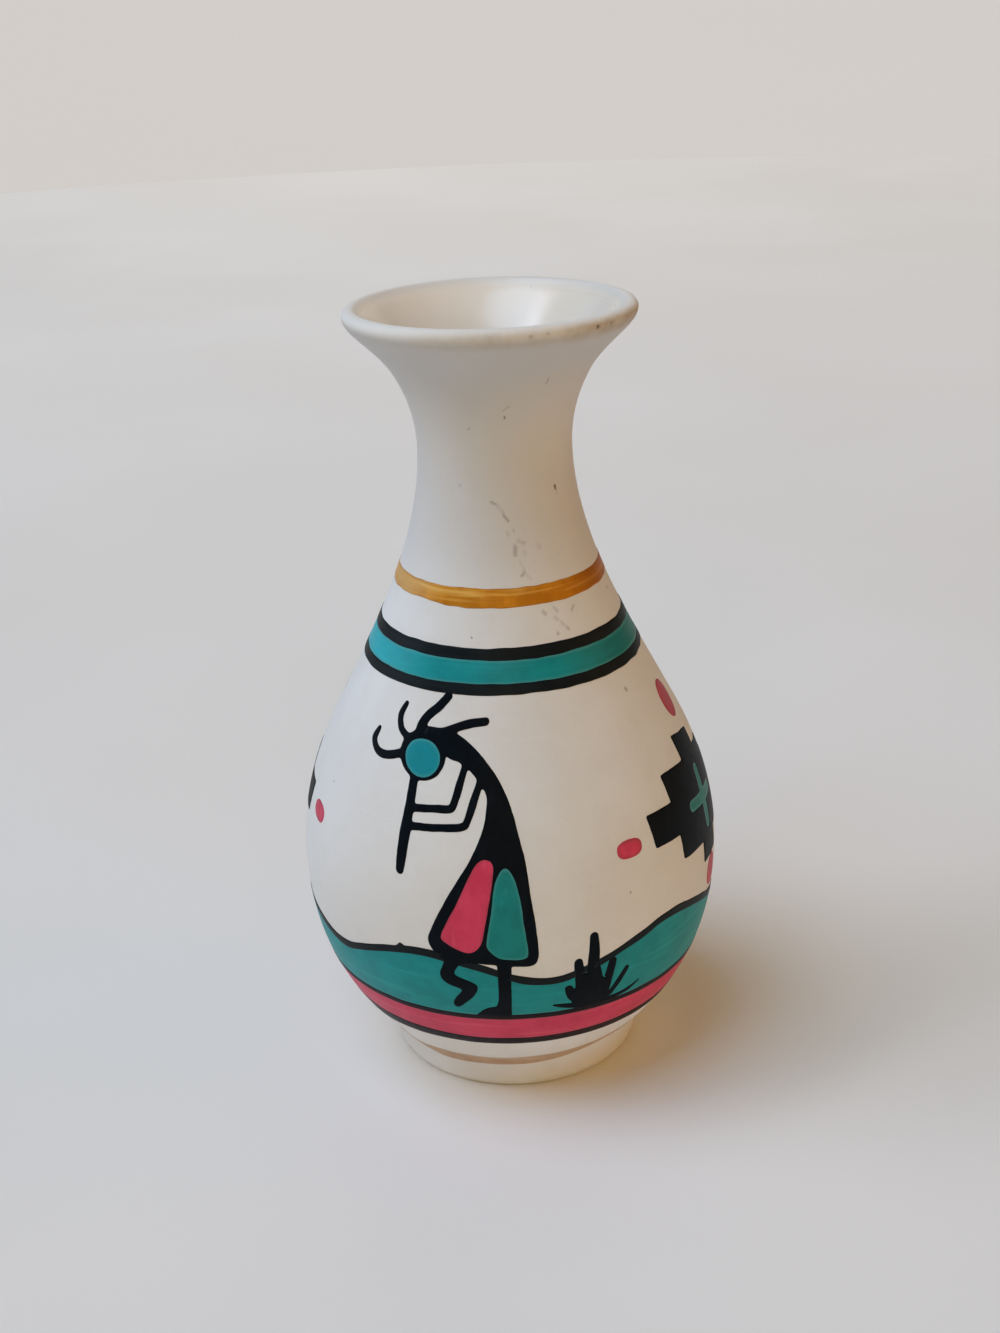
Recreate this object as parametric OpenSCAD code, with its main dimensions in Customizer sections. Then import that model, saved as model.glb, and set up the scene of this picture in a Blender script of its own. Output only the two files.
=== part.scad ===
// Bud vase: one turned clay shell, glazed inside, hand painted outside.
// Millimetres, +Z up, origin at the centre of the face it stands on, front towards -Y.
// Every coat is its own closed film, laid face to face on the clay and edge to edge
// with its neighbours.

/* [Body] */
// Overall height
vase_h = 152.4; // [140:0.1:165]
// Largest radius of the belly
belly_r = 41; // [36:0.5:46]
// Height of the largest radius
belly_z = 44; // [38:0.5:50]
// Radius half way up the shoulder
shoulder_r = 33.7; // [29:0.1:37]
// Height half way up the shoulder
shoulder_z = 72; // [66:0.5:78]
// Smallest radius of the neck
neck_r = 14.6; // [12:0.1:18]
// Height of the smallest radius
neck_z = 125.5; // [118:0.5:131]
// Clay thickness, square to the surface
wall = 3.8; // [2.6:0.1:4.6]
// Height of the floor inside
floor_z = 6; // [4:0.5:9]

/* [Rim] */
// Largest radius of the rim
rim_r = 27; // [25:0.5:31]
// Radius of the highest line on the lip
crest_r = 25.4; // [25:0.1:25.8]
// Depth below the crest where the lip's inside runs into the even wall
roll_h = 8.9; // [7:0.1:11]
// Radius of the flare below the lip
flare_r = 18.5; // [17:0.1:20]

/* [Foot] */
// Radius of the line the foot stands on
foot_r = 23; // [20:0.1:24]
// Radius where the rounded foot edge ends
foot_side_r = 25; // [24:0.1:26.5]
// Height of the rounded foot edge
foot_side_z = 3.8; // [2:0.1:5]
// Radius of the groove where foot and body meet
groove_r = 27; // [26:0.1:28]
// Height of that groove
foot_h = 8.2; // [7:0.1:10]
// Inner radius of the standing ring
ring_r = 17.5; // [14:0.1:20]
// Depth of the hollow under the base
recess = 1.2; // [0.6:0.1:2.5]

/* [Coats] */
// Thickness of a paint film
coat = 0.15; // [0.1:0.01:0.3]
// Thickness of the inside glaze
glaze = 0.3; // [0.2:0.05:0.5]

/* [Bands] */
// Neck band: lower edge
neck_band_z = 100.2; // [97:0.1:104]
// Neck band: width
neck_band_w = 3.2; // [1:0.1:5]
// Shoulder band: lower edge of the lower line
shoulder_band_z = 85.6; // [80:0.1:88]
// Shoulder band: width of the lower line
low_line_w = 1.9; // [1:0.1:3]
// Shoulder band: width of the colour between the lines
shoulder_fill_w = 3.8; // [2:0.1:6]
// Shoulder band: width of the upper line
high_line_w = 2.1; // [1:0.1:3]
// Base band: lower edge of the lower line
base_band_z = 15.9; // [13:0.1:18]
// Base band: width of the lower line
base_low_w = 2.1; // [1:0.1:3]
// Base band: width of the colour between the lines
base_fill_w = 5.9; // [3:0.1:7]
// Base band: width of the upper line
base_high_w = 1.4; // [0.8:0.1:2]
// Foot line: lower edge
foot_line_z = 6.8; // [6:0.1:7.8]
// Foot line: width
foot_line_w = 2.2; // [1.2:0.1:3]

/* [Motifs] */
// Turn of the flute player from the front
player_a = -15; // [-30:1:0]
// Turn of the desert plant
plant_a = 26; // [15:1:40]
// Turn of the stepped diamond
diamond_a = 72; // [60:1:85]
// Height of the diamond's centre
diamond_z = 57.8; // [54:0.1:60]
// Turn of the left dot from the diamond
dot_left = 38.2; // [34:0.1:42]
// Turn of the right dot from the diamond
dot_right = 41.5; // [38:0.1:45]
// Turn from the front diamond to the one at the back
diamond_back = 177.5; // [174:0.5:184]
// Width of the line along the hill tops
hill_line_w = 1.7; // [0.8:0.1:2]

/* [Hidden] */
$fn = 96;

lip_z = vase_h - 4.4;
flare_z = vase_h - 12.4;
lip_r = rim_r - 1.8;
roll_z = vase_h - roll_h;
base_top = base_band_z + base_low_w + base_fill_w + base_high_w;
shoulder_top = shoulder_band_z + low_line_w + shoulder_fill_w + high_line_w;

// ---- outer profile: cubic pieces through these heights, radii and slopes
KZ = [foot_h, belly_z, shoulder_z, neck_z, flare_z, lip_z];
KR = [groove_r, belly_r, shoulder_r, neck_r, flare_r, lip_r];
KS = [0.95, 0, -0.51, 0, 0.55, 0.97];

function piece(z) = max([for (i = [0 : len(KZ) - 2]) z >= KZ[i] ? i : 0]);
function radius(z) = let (i = piece(z), h = KZ[i + 1] - KZ[i], t = (z - KZ[i]) / h)
    (2*t*t*t - 3*t*t + 1) * KR[i] + (t*t*t - 2*t*t + t) * h * KS[i]
    + (3*t*t - 2*t*t*t) * KR[i + 1] + (t*t*t - t*t) * h * KS[i + 1];
function lean(z) = z < foot_h ? (groove_r - foot_side_r) / (foot_h - foot_side_z)
    : let (i = piece(z), h = KZ[i + 1] - KZ[i], t = (z - KZ[i]) / h)
    (6*t*t - 6*t) / h * (KR[i] - KR[i + 1])
    + (3*t*t - 4*t + 1) * KS[i] + (3*t*t - 2*t) * KS[i + 1];
function out_of(z) = [1, -lean(z)] / norm([1, -lean(z)]);

steps = 58;
SIDE = [for (i = [0 : steps]) let (z = foot_h + (lip_z - foot_h) * i / steps) [radius(z), z]];
FOOT = [for (a = [0 : 15 : 90])
    [foot_side_r - (foot_side_r - foot_r) * (1 - sin(a)), foot_side_z * (1 - cos(a))]];
TABLE = concat([for (p = FOOT) [p[1], p[0]]], [for (p = SIDE) [p[1], p[0]]]);
function on_clay(z) = lookup(z, TABLE);

// ---- lip, as four cubic curves from the flare over the crest to the inside
function curve(a, b, c, d, n) = [for (i = [1 : n]) let (t = i / n, u = 1 - t)
    u*u*u*a + 3*u*u*t*b + 3*u*t*t*c + t*t*t*d];
function way(z) = [lean(z), 1] / norm([lean(z), 1]);
lip_a = [lip_r, lip_z];
lip_b = [rim_r, vase_h - 1.4];
lip_c = [crest_r, vase_h];
lip_e = lip_c - [1.15, 0.5];
lip_d = [radius(roll_z), roll_z] - wall * out_of(roll_z);
into = [0.72, 0.69];
LIP = concat(
    curve(lip_a, lip_a + 1.4 * way(lip_z), lip_b - [0, 0.9], lip_b, 6),
    curve(lip_b, lip_b + [0, 0.8], lip_c + [0.85, 0], lip_c, 8),
    curve(lip_c, lip_c - [0.6, 0], lip_e + 0.5 * into, lip_e, 4),
    curve(lip_e, lip_e - 2.5 * into, lip_d + 2.5 * way(roll_z), lip_d, 6));

// ---- inside: the side set in by the wall, then an arc down to the flat floor
INSIDE = [for (i = [steps - 1 : -1 : 0]) if (SIDE[i][1] < roll_z - 0.8)
    SIDE[i] - wall * out_of(SIDE[i][1])];
last = INSIDE[len(INSIDE) - 1];
turn = 90 - atan(KS[0]);
arc_r = (last[1] - floor_z) / (1 - cos(turn));
FLOOR = [for (k = [1 : 6]) let (a = turn * (1 - k / 6))
    [last[0] - arc_r * (sin(turn) - sin(a)), floor_z + arc_r * (1 - cos(a))]];
CAVITY = concat(INSIDE, FLOOR);

// the glazed line from the roll of the lip to the floor, and the same moved in by a distance t
WET = concat([for (i = [len(LIP) - 6 : len(LIP) - 1]) LIP[i]], CAVITY);
function along(i) = let (a = WET[max(i - 1, 0)], b = WET[min(i + 1, len(WET) - 1)])
    (b - a) / norm(b - a);
function lined(t) = [for (i = [0 : len(WET) - 1])
    i == len(WET) - 1 ? WET[i] + [0, t] : WET[i] + t * [along(i)[1], -along(i)[0]]];

// ---- films
function heights(z0, z1) = concat([z0],
    [for (p = TABLE) if (p[0] > z0 + 0.05 && p[0] < z1 - 0.05) p[0]], [z1]);
module film(z0, z1, t = coat) {
    zs = heights(z0, z1);
    n = len(zs) - 1;
    rotate_extrude() polygon(concat(
        [for (z = zs) [on_clay(z), z]],
        [for (i = [n : -1 : 0]) [on_clay(zs[i]), zs[i]] + t * out_of(zs[i])]));
}
// a flat drawing (x across, y up) thrown on the film that faces angle a
module cast(a, reach = 70) {
    rotate([0, 0, a]) rotate([90, 0, 0]) linear_extrude(height = reach) children();
}
module paint(a, z0, z1) {
    rotate([0, 0, a]) intersection() {
        film(z0, z1);
        cast(0) children();
    }
}

// ---- brush work: a line through points p, w wide at each, with round ends
function side_of(v) = [-v[1], v[0]];
function run(p, i) = let (d = p[min(i + 1, len(p) - 1)] - p[max(i - 1, 0)]) d / norm(d);
function cap(c, d, h) = [for (a = [30 : 30 : 150]) c + h * (side_of(d) * cos(a) + d * sin(a))];
function stroke(p, w) = let (n = len(p) - 1) concat(
    [for (i = [0 : n]) p[i] + side_of(run(p, i)) * w[i] / 2],
    cap(p[n], run(p, n), w[n] / 2),
    [for (i = [n : -1 : 0]) p[i] - side_of(run(p, i)) * w[i] / 2],
    cap(p[0], -run(p, 0), w[0] / 2));
// points on a smooth curve through p, m to each span
function knot(p, i, shut) = let (n = len(p)) shut ? p[(i + n) % n] : p[min(max(i, 0), n - 1)];
function bend(p, i, t, shut) = let (a = knot(p, i - 1, shut), b = knot(p, i, shut),
    c = knot(p, i + 1, shut), d = knot(p, i + 2, shut))
    0.5 * (2*b + (c - a) * t + (2*a - 5*b + 4*c - d) * t*t + (3*b - a - 3*c + d) * t*t*t);
function smooth(p, m) = concat([for (i = [0 : len(p) - 2]) for (k = [0 : m - 1])
    bend(p, i, k / m, false)], [p[len(p) - 1]]);
function smooth_ring(p, m) = [for (i = [0 : len(p) - 1]) for (k = [0 : m - 1])
    bend(p, i, k / m, true)];
// same, for widths
function spread(w, m) = concat([for (i = [0 : len(w) - 2]) for (k = [0 : m - 1])
    w[i] + (w[i + 1] - w[i]) * k / m], [w[len(w) - 1]]);
module brush(p, w, m = 3) { polygon(stroke(smooth(p, m), spread(w, m))); }
function oval(c, a, b, n = 36) = [for (i = [0 : n - 1])
    c + [a * cos(360 * i / n), b * sin(360 * i / n)]];

// ---- flute player, drawn flat: x from the middle of the figure, y up from the foot
PLAYER_BODY = [[-7.5, 79.3], [-4.6, 79.9], [-1, 79.1], [2.4, 77], [5.2, 74.3], [7.8, 70.9],
    [9.7, 67.3], [11.2, 62.7], [12.6, 58.1], [13.6, 52], [14.3, 47], [14.8, 42], [14.6, 38.6],
    [13.4, 37.2], [10, 37.3], [7.4, 37.6], [4, 37.9], [0.5, 37.4], [-2.2, 37.6], [-4.5, 39.6],
    [-5.5, 41.6], [-5.2, 43.7], [-2.6, 49.2], [0.2, 54.1], [3, 59.1], [4.7, 63.6], [5.2, 67.1],
    [5.1, 69.3], [4.2, 70.9], [3, 72.2], [1.5, 73.5], [-0.2, 74.5], [-3.2, 75.6]];
PLAYER_PANEL_PINK = [[5.5, 58.5], [6.9, 57.3], [6.5, 52.3], [5.4, 46], [4.4, 42], [2.4, 40.2],
    [-0.2, 40.9], [-2.7, 42.4], [-2.7, 44], [0, 49.6], [2.4, 54.8], [4, 57.7]];
PLAYER_PANEL_TEAL = [[9, 57], [10.6, 55.2], [11.7, 51.4], [12.4, 46], [12.9, 40.2], [11.9, 38.9],
    [9.4, 38.9], [7.4, 39.5], [5.8, 41.3], [5.8, 43.4], [6.7, 48.5], [7.4, 54.4]];
BENT_LEG = [[1, 38.6], [-0.4, 36.4], [-0.8, 35.2], [0.4, 34.4], [2.1, 33.7], [3.2, 32.8], [3.1, 31.4], [1.9, 29.5],
    [0.6, 28.2], [-0.6, 27], [-1.5, 26.9], [-1.9, 27.9], [-1.1, 29.5], [-0.1, 30.8], [0.1, 31.5], [-1, 32], [-2.5, 32.6],
    [-3.6, 33.6], [-3.8, 35], [-3.2, 36.6], [-2, 38.8]];
head = [-7.6, 74.6];
module head_disc() { polygon(oval(head, 3.45, 3.05)); }
module player_shape() {
    polygon(smooth_ring(PLAYER_BODY, 2));
    polygon(oval(head + [-0.1, 0.4], 4.6, 4.1));
    // hair
    brush([[-17.4, 77.5], [-18.4, 75.4], [-17.3, 73.8], [-15, 73.7], [-11.4, 74.9]], [0.8, 1.2, 1.3, 1.3, 1.3]);
    brush([[-11.8, 82.8], [-12.9, 80.6], [-12.6, 78.6], [-11.2, 77.5], [-9.4, 76.6]], [0.9, 1.2, 1.3, 1.4, 1.6]);
    brush([[-3.4, 85], [-5.2, 83.2], [-7.3, 81.4], [-8.5, 79.4], [-8.6, 77.6]], [1.4, 1.6, 1.5, 1.7, 2]);
    brush([[3.9, 81.4], [1.2, 81], [-1.4, 80.2], [-4.4, 78.8]], [1.5, 1.5, 1.4, 1.8]);
    // arms and flute
    brush([[0.9, 74.6], [0.1, 71.4], [-0.8, 67.9], [-1.6, 66.9], [-4.4, 66.7], [-9.2, 66.2]], [1.3, 1.4, 1.4, 1.4, 1.4, 1.4]);
    brush([[3.9, 72], [2.9, 68.6], [1.9, 65.1], [1, 64.1], [-2.6, 63.6], [-9.8, 63.1]], [1.3, 1.4, 1.4, 1.4, 1.4, 1.4]);
    brush([[-8.9, 71.8], [-9.4, 67], [-10.1, 62], [-10.8, 57], [-11, 54.9]], [1.7, 1.8, 2.1, 1.9, 1.7]);
    // bent leg, then the standing leg with its foot
    polygon(smooth_ring(BENT_LEG, 2));
    polygon([[7.3, 38.6], [10, 38.6], [9.7, 34], [9.3, 29], [8.9, base_top - 0.2], [2.2, base_top - 0.2], [2.6, 25.6],
             [3.5, 26.5], [4.6, 27.2], [6.3, 27.7], [6.8, 29], [7.1, 32], [7.2, 35]]);
}

// ---- desert plant, drawn flat
module plant_shape() {
    brush([[-3.4, 41.6], [-3.3, 38.7], [-3.4, 35.6], [-3.3, 29]], [1.7, 2.1, 2.5, 3.6]);
    brush([[-6.4, 36.6], [-6.1, 34.5], [-5, 30.2]], [1.6, 2, 2.8]);
    brush([[-8, 30.8], [-7, 28.8], [-4.8, 26.4]], [1.6, 2, 2.3]);
    brush([[-10.4, 27], [-8.4, 26.5], [-5.3, 25.8]], [0.6, 1.2, 1.6]);
    brush([[0.7, 35], [-0.2, 30.5], [-0.9, 27.3]], [1.7, 2.2, 3]);
    brush([[4, 32.2], [2.5, 29.6], [1, 27.2], [0.4, 26.4]], [1.2, 1.5, 1.3, 1.2]);
    brush([[7.5, 27.7], [4.9, 26.3], [1.2, 25.6]], [0.5, 1, 1.3]);
    polygon([[-6.9, 33], [-6.6, 29], [-5.3, 26.6], [-4.9, base_top - 0.2], [1, base_top - 0.2], [-0.1, 27.8],
             [-1.2, 32], [-1.9, 34.6], [-4.3, 34.8], [-5.5, 33]]);
}

// ---- stepped diamond and its cross, drawn flat
module diamond_shape() {
    translate([0, diamond_z]) {
        polygon([[-19.5, -3.3], [20.5, -3.3], [20.5, 3.2], [-19.5, 3.3]]);
        polygon([[-12.7, -8.5], [11.2, -9.6], [11.2, 7.4], [-12.7, 8.6]]);
        polygon([[-4.2, -13.4], [4.7, -13.4], [4.7, 11.4], [-4.2, 12.9]]);
    }
}
module cross_shape() {
    brush([[0.7, diamond_z + 4.4], [0.4, diamond_z - 1], [0.2, diamond_z - 6.4]], [2.1, 2.5, 2.1], 2);
    brush([[-6.1, diamond_z - 0.4], [0.4, diamond_z - 1], [6.3, diamond_z - 1.4]], [2.1, 2.4, 2.1], 2);
}

// ---- hills: [turn, height of the hill top]
HILL = [[-180, 37.6], [-163, 40], [-150, 40.6], [-135, 39.2], [-120, 37.4], [-108, 36.6], [-95, 37.2], [-85, 37.6],
    [-75, 37], [-66, 35.9], [-58, 35], [-52, 35.1], [-46, 36.4], [-40, 37.8], [-34, 39], [-28, 39.8], [-22, 39.8],
    [-15, 38.8], [-9, 37.7], [-4, 36.4], [2, 34.9], [8, 34.1], [13, 34.3], [18, 35.2], [24, 36.5], [31, 38.3], [37, 39.6],
    [43, 40.7], [49, 40.9], [57, 39.9], [64, 38.5], [71, 37], [82, 35.2], [95, 34.4], [110, 35.4], [125, 37.6],
    [140, 39.5], [150, 39.8], [165, 39], [180, 37.6]];
function hill(a) = lookup(a, HILL);
reach_r = 60;
hill_c = 36;
hill_da = 4;
// a tall block whose top follows the hill line where it meets the clay
module under_hills(drop) {
    n = 360 / hill_da;
    edge = [for (i = [0 : n - 1]) let (a = -180 + i * hill_da, z = hill(a) - drop)
        [reach_r * sin(a), -reach_r * cos(a), hill_c + (z - hill_c) * reach_r / on_clay(z)]];
    low = [for (p = edge) [p[0], p[1], 10]];
    polyhedron(points = concat(edge, low, [[0, 0, hill_c], [0, 0, 10]]),
        faces = concat(
            [for (i = [0 : n - 1]) [2 * n, (i + 1) % n, i]],
            [for (i = [0 : n - 1]) [i, (i + 1) % n, n + (i + 1) % n, n + i]],
            [for (i = [0 : n - 1]) [2 * n + 1, n + i, n + (i + 1) % n]]));
}
module over_hills_cut() {
    for (b = [0, 180]) {
        cast(player_a + b) player_shape();
        cast(plant_a + b) plant_shape();
    }
}

// ---- sub-parts
module vase_body() {
    color("ivory") rotate_extrude() polygon(concat(
        [[0, recess], [ring_r - recess, recess], [ring_r, 0]],
        FOOT, [for (i = [1 : steps]) SIDE[i]], LIP, CAVITY, [[0, floor_z]]));
}
module inner_glaze() {
    inner = lined(glaze);
    n = len(inner) - 1;
    color("linen") rotate_extrude() polygon(concat(
        WET, [[0, floor_z], [0, floor_z + glaze]], [for (i = [n : -1 : 0]) inner[i]]));
}
module neck_band() { color("goldenrod") film(neck_band_z, neck_band_z + neck_band_w); }
module shoulder_fill() {
    color("teal") film(shoulder_band_z + low_line_w, shoulder_top - high_line_w);
}
module shoulder_lines() {
    color("black") {
        film(shoulder_band_z, shoulder_band_z + low_line_w);
        film(shoulder_top - high_line_w, shoulder_top);
    }
}
module player_black() {
    color("black") for (b = [0, 180]) paint(player_a + b, base_top, shoulder_band_z) difference() {
        player_shape();
        head_disc();
        polygon(smooth_ring(PLAYER_PANEL_PINK, 2));
        polygon(smooth_ring(PLAYER_PANEL_TEAL, 2));
    }
}
module player_teal() {
    color("teal") for (b = [0, 180]) {
        paint(player_a + b, head[1] - 4, head[1] + 4) head_disc();
        paint(player_a + b, 37, 59) polygon(smooth_ring(PLAYER_PANEL_TEAL, 2));
    }
}
module player_pink() {
    color("crimson") for (b = [0, 180])
        paint(player_a + b, 38, 60) polygon(smooth_ring(PLAYER_PANEL_PINK, 2));
}
module diamond_black() {
    color("black") for (b = [0, diamond_back]) paint(diamond_a + b, diamond_z - 15, diamond_z + 15) difference() {
        diamond_shape();
        cross_shape();
    }
}
module diamond_cross() {
    color("teal") for (b = [0, diamond_back]) paint(diamond_a + b, diamond_z - 8, diamond_z + 8) cross_shape();
}
module pink_dots() {
    color("crimson") for (b = [0, diamond_back]) {
        paint(diamond_a + b - dot_left, diamond_z - 4, diamond_z + 3) polygon(oval([0, diamond_z - 1.2], 2.8, 1.7));
        paint(diamond_a + b + dot_right, diamond_z - 4, diamond_z + 3) polygon(oval([0, diamond_z - 0.1], 2.7, 1.8));
        paint(diamond_a + b + 4.7, 71, 81) polygon(oval([0, 75.7], 2.9, 3.7));
        paint(diamond_a + b + 1.3, 37, 45) polygon(oval([0, 40.8], 3, 3.4));
    }
}
module hill_fill() {
    color("teal") difference() {
        intersection() {
            film(base_top, 42);
            under_hills(hill_line_w);
        }
        over_hills_cut();
    }
}
module hill_line() {
    color("black") difference() {
        intersection() {
            film(28, 44);
            under_hills(0);
        }
        under_hills(hill_line_w);
        over_hills_cut();
    }
}
module desert_plant() {
    color("black") for (b = [0, 180]) paint(plant_a + b, base_top, 44) plant_shape();
}
module base_fill() {
    color("crimson") film(base_band_z + base_low_w, base_top - base_high_w);
}
module base_lines() {
    color("black") {
        film(base_band_z, base_band_z + base_low_w);
        film(base_top - base_high_w, base_top);
    }
}
module foot_line() { color("tan") film(foot_line_z, foot_line_z + foot_line_w); }

vase_body();
inner_glaze();
neck_band();
shoulder_fill();
shoulder_lines();
player_black();
player_teal();
player_pink();
diamond_black();
diamond_cross();
pink_dots();
hill_fill();
hill_line();
desert_plant();
base_fill();
base_lines();
foot_line();
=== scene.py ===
import math

import bpy
import numpy as np
from mathutils import Matrix, Quaternion, Vector
from mathutils.kdtree import KDTree
from mathutils.geometry import delaunay_2d_cdt


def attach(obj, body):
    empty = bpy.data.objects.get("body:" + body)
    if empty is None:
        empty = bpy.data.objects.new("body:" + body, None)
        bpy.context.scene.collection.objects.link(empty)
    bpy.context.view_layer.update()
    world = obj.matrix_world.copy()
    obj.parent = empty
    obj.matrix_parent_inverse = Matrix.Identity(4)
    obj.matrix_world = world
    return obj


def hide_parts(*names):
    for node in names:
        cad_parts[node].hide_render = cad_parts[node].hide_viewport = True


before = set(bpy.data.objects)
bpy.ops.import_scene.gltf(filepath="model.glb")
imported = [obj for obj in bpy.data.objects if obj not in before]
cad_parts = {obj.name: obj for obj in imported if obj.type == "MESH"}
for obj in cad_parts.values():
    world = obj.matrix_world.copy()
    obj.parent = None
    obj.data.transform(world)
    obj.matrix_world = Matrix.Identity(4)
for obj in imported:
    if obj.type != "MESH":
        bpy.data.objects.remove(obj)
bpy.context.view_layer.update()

# Lengths in this script are millimetres, and MM turns them into Blender's metres.
# An angle "turn" goes from the front (-Y) towards +X, in degrees unless it says rad.
MM = 0.001
scene = bpy.context.scene


# ------------------------------------------------------------------ number tools
def ease(a, b, x):
    t = np.clip((np.asarray(x, float) - a) / (b - a), 0.0, 1.0)
    return t * t * (3 - 2 * t)


def chance(ix, iy, seed):
    h = (ix.astype(np.int64) * 374761393 + iy.astype(np.int64) * 668265263 + seed * 974634777) & 0xFFFFFFFF
    h = ((h ^ (h >> 13)) * 1274126177) & 0xFFFFFFFF
    return ((h ^ (h >> 16)) & 0xFFFF) / 65535.0


def rough(x, y, seed):
    """Smooth value noise from -1 to 1, one cell to each unit."""
    x, y = np.asarray(x, float), np.asarray(y, float)
    ix, iy = np.floor(x), np.floor(y)
    u, v = x - ix, y - iy
    u, v = u * u * (3 - 2 * u), v * v * (3 - 2 * v)
    a, b = chance(ix, iy, seed), chance(ix + 1, iy, seed)
    c, d = chance(ix, iy + 1, seed), chance(ix + 1, iy + 1, seed)
    return 2 * ((a + (b - a) * u) * (1 - v) + (c + (d - c) * u) * v) - 1


def sway(turn, seed, low, high):
    """A wave from about -1 to 1 that closes on itself round the vase."""
    turn = np.radians(np.asarray(turn, float))
    total, size = np.zeros_like(turn), 0.0
    for k in range(low, high + 1):
        phase = float(chance(np.array(k), np.array(7), seed)) * 2 * math.pi
        weight = (0.6 + 0.4 * float(chance(np.array(k), np.array(3), seed))) / math.sqrt(k)
        total += weight * np.sin(k * turn + phase)
        size += weight * weight
    return total / math.sqrt(2 * size)


# ------------------------------------------------------------------ the clay's profile
KZ = np.array([8.2, 44, 72, 125.5, 140, 148])
KR = np.array([27, 41, 33.7, 14.6, 18.5, 25.2])
KS = np.array([0.95, 0, -0.51, 0, 0.55, 0.97])
FOOT_R, FOOT_SIDE_R, FOOT_SIDE_Z = 23.0, 25.0, 3.8
WALL, FLOOR_Z, RECESS, RING_R, GLAZE = 3.8, 6.0, 1.2, 17.5, 0.3
TOP = 152.4


def raw_side(z):
    i = np.clip(np.searchsorted(KZ, z, side="right") - 1, 0, len(KZ) - 2)
    h = KZ[i + 1] - KZ[i]
    t = (z - KZ[i]) / h
    r = ((2 * t**3 - 3 * t**2 + 1) * KR[i] + (t**3 - 2 * t**2 + t) * h * KS[i]
         + (3 * t**2 - 2 * t**3) * KR[i + 1] + (t**3 - t**2) * h * KS[i + 1])
    low = FOOT_SIDE_R + (z - FOOT_SIDE_Z) * (KR[0] - FOOT_SIDE_R) / (KZ[0] - FOOT_SIDE_Z)
    a = np.arccos(np.clip(1 - z / FOOT_SIDE_Z, -1, 1))
    edge = FOOT_SIDE_R - (FOOT_SIDE_R - FOOT_R) * (1 - np.sin(a))
    return np.where(z < FOOT_SIDE_Z, edge, np.where(z < KZ[0], low, r))


# The two creases of the foot are softened over about a millimetre.
TZ = np.arange(0, 148.001, 0.05)
TR = raw_side(TZ)
_kernel = np.exp(-0.5 * (np.arange(-40, 41) * 0.05 / 0.55) ** 2)
_soft = np.convolve(np.pad(TR, 40, mode="edge"), _kernel / _kernel.sum(), "valid")
_blend = ease(1.6, 2.6, TZ) * (1 - ease(13, 18, TZ))
TR = TR + (_soft - TR) * _blend
TS = np.gradient(TR, TZ)


def side(z):
    """Radius of the outside at height z, and its slope."""
    return np.interp(z, TZ, TR), np.interp(z, TZ, TS)


def dent(turn, z):
    """The hand-finished clay isn't perfectly round: it lies up to 0.2 mm inside the true profile."""
    t = np.radians(turn)
    d = (0.055 * (1 + np.sin(2 * t + 0.7 + z / 41)) + 0.03 * (1 + np.sin(3 * t - 1.9 + z / 23))
         + 0.015 * (1 + np.sin(5 * t + z / 9)))
    return -d * ease(1.0, 6.0, z) * (1 - ease(143.0, 148.0, z))


def skin(turn, z, lift):
    """Points lifted off the clay, square to it, in millimetres."""
    turn, z, lift = np.broadcast_arrays(*(np.asarray(v, float) for v in (turn, z, lift)))
    r, s = side(z)
    n = np.sqrt(1 + s * s)
    rr = r + dent(turn, z) + lift / n
    t = np.radians(turn)
    return np.stack([rr * np.sin(t), -rr * np.cos(t), z - lift * s / n], -1)


# ------------------------------------------------------------------ mesh tools
def make(name, verts, faces, uvs=None, attrs=None):
    me = bpy.data.meshes.new(name)
    me.from_pydata((np.asarray(verts, float) * MM).tolist(), [], [tuple(int(i) for i in f) for f in faces])
    me.polygons.foreach_set("use_smooth", np.ones(len(me.polygons), bool))
    if uvs is not None:
        layer = me.uv_layers.new(name="OFBake")
        layer.data.foreach_set("uv", np.asarray(uvs, np.float32).ravel())
    for key, values in (attrs or {}).items():
        a = me.attributes.new(key, "FLOAT", "POINT")
        a.data.foreach_set("value", np.asarray(values, np.float32).ravel())
    me.update()
    ob = bpy.data.objects.new(name, me)
    scene.collection.objects.link(ob)
    return ob


def crisp(ob, first, count):
    """Marks the ring of edges between points first and first + count as sharp."""
    me = ob.data
    ends = np.zeros(len(me.edges) * 2, int)
    me.edges.foreach_get("vertices", ends)
    ends = ends.reshape(-1, 2)
    sharp = ((ends >= first) & (ends < first + count)).all(1)
    a = me.attributes.new("sharp_edge", "BOOLEAN", "EDGE")
    a.data.foreach_set("value", sharp)


def turned(name, turns, rows, shape, uv_of, attrs=None, caps=()):
    """A closed surface of rows round the axis. shape(i) gives the points of row i; a row whose number
    is in caps is a single point on the axis. uv_of(i, j) takes a row and a column, which may be one
    past the last, and gives the place of that corner on the map."""
    n = len(turns)
    start, verts = [], []
    for i in range(rows):
        start.append(len(verts))
        p = shape(i)
        verts.extend([p[0]] if i in caps else p)
    faces, uvs = [], []
    for i in range(rows - 1):
        a, b = start[i], start[i + 1]
        for j in range(n):
            k = (j + 1) % n
            if i in caps:
                faces.append((a, b + k, b + j))
                uvs += [uv_of(i, j + 0.5), uv_of(i + 1, j + 1), uv_of(i + 1, j)]
            elif i + 1 in caps:
                faces.append((a + j, a + k, b))
                uvs += [uv_of(i, j), uv_of(i, j + 1), uv_of(i + 1, j + 0.5)]
            else:
                faces.append((a + j, a + k, b + k, b + j))
                uvs += [uv_of(i, j), uv_of(i, j + 1), uv_of(i + 1, j + 1), uv_of(i + 1, j)]
    return make(name, verts, faces, uvs, attrs(start, len(verts)) if attrs else None)


# ------------------------------------------------------------------ materials
def linear(r, g, b):
    return (r, g, b, 1.0)


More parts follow.
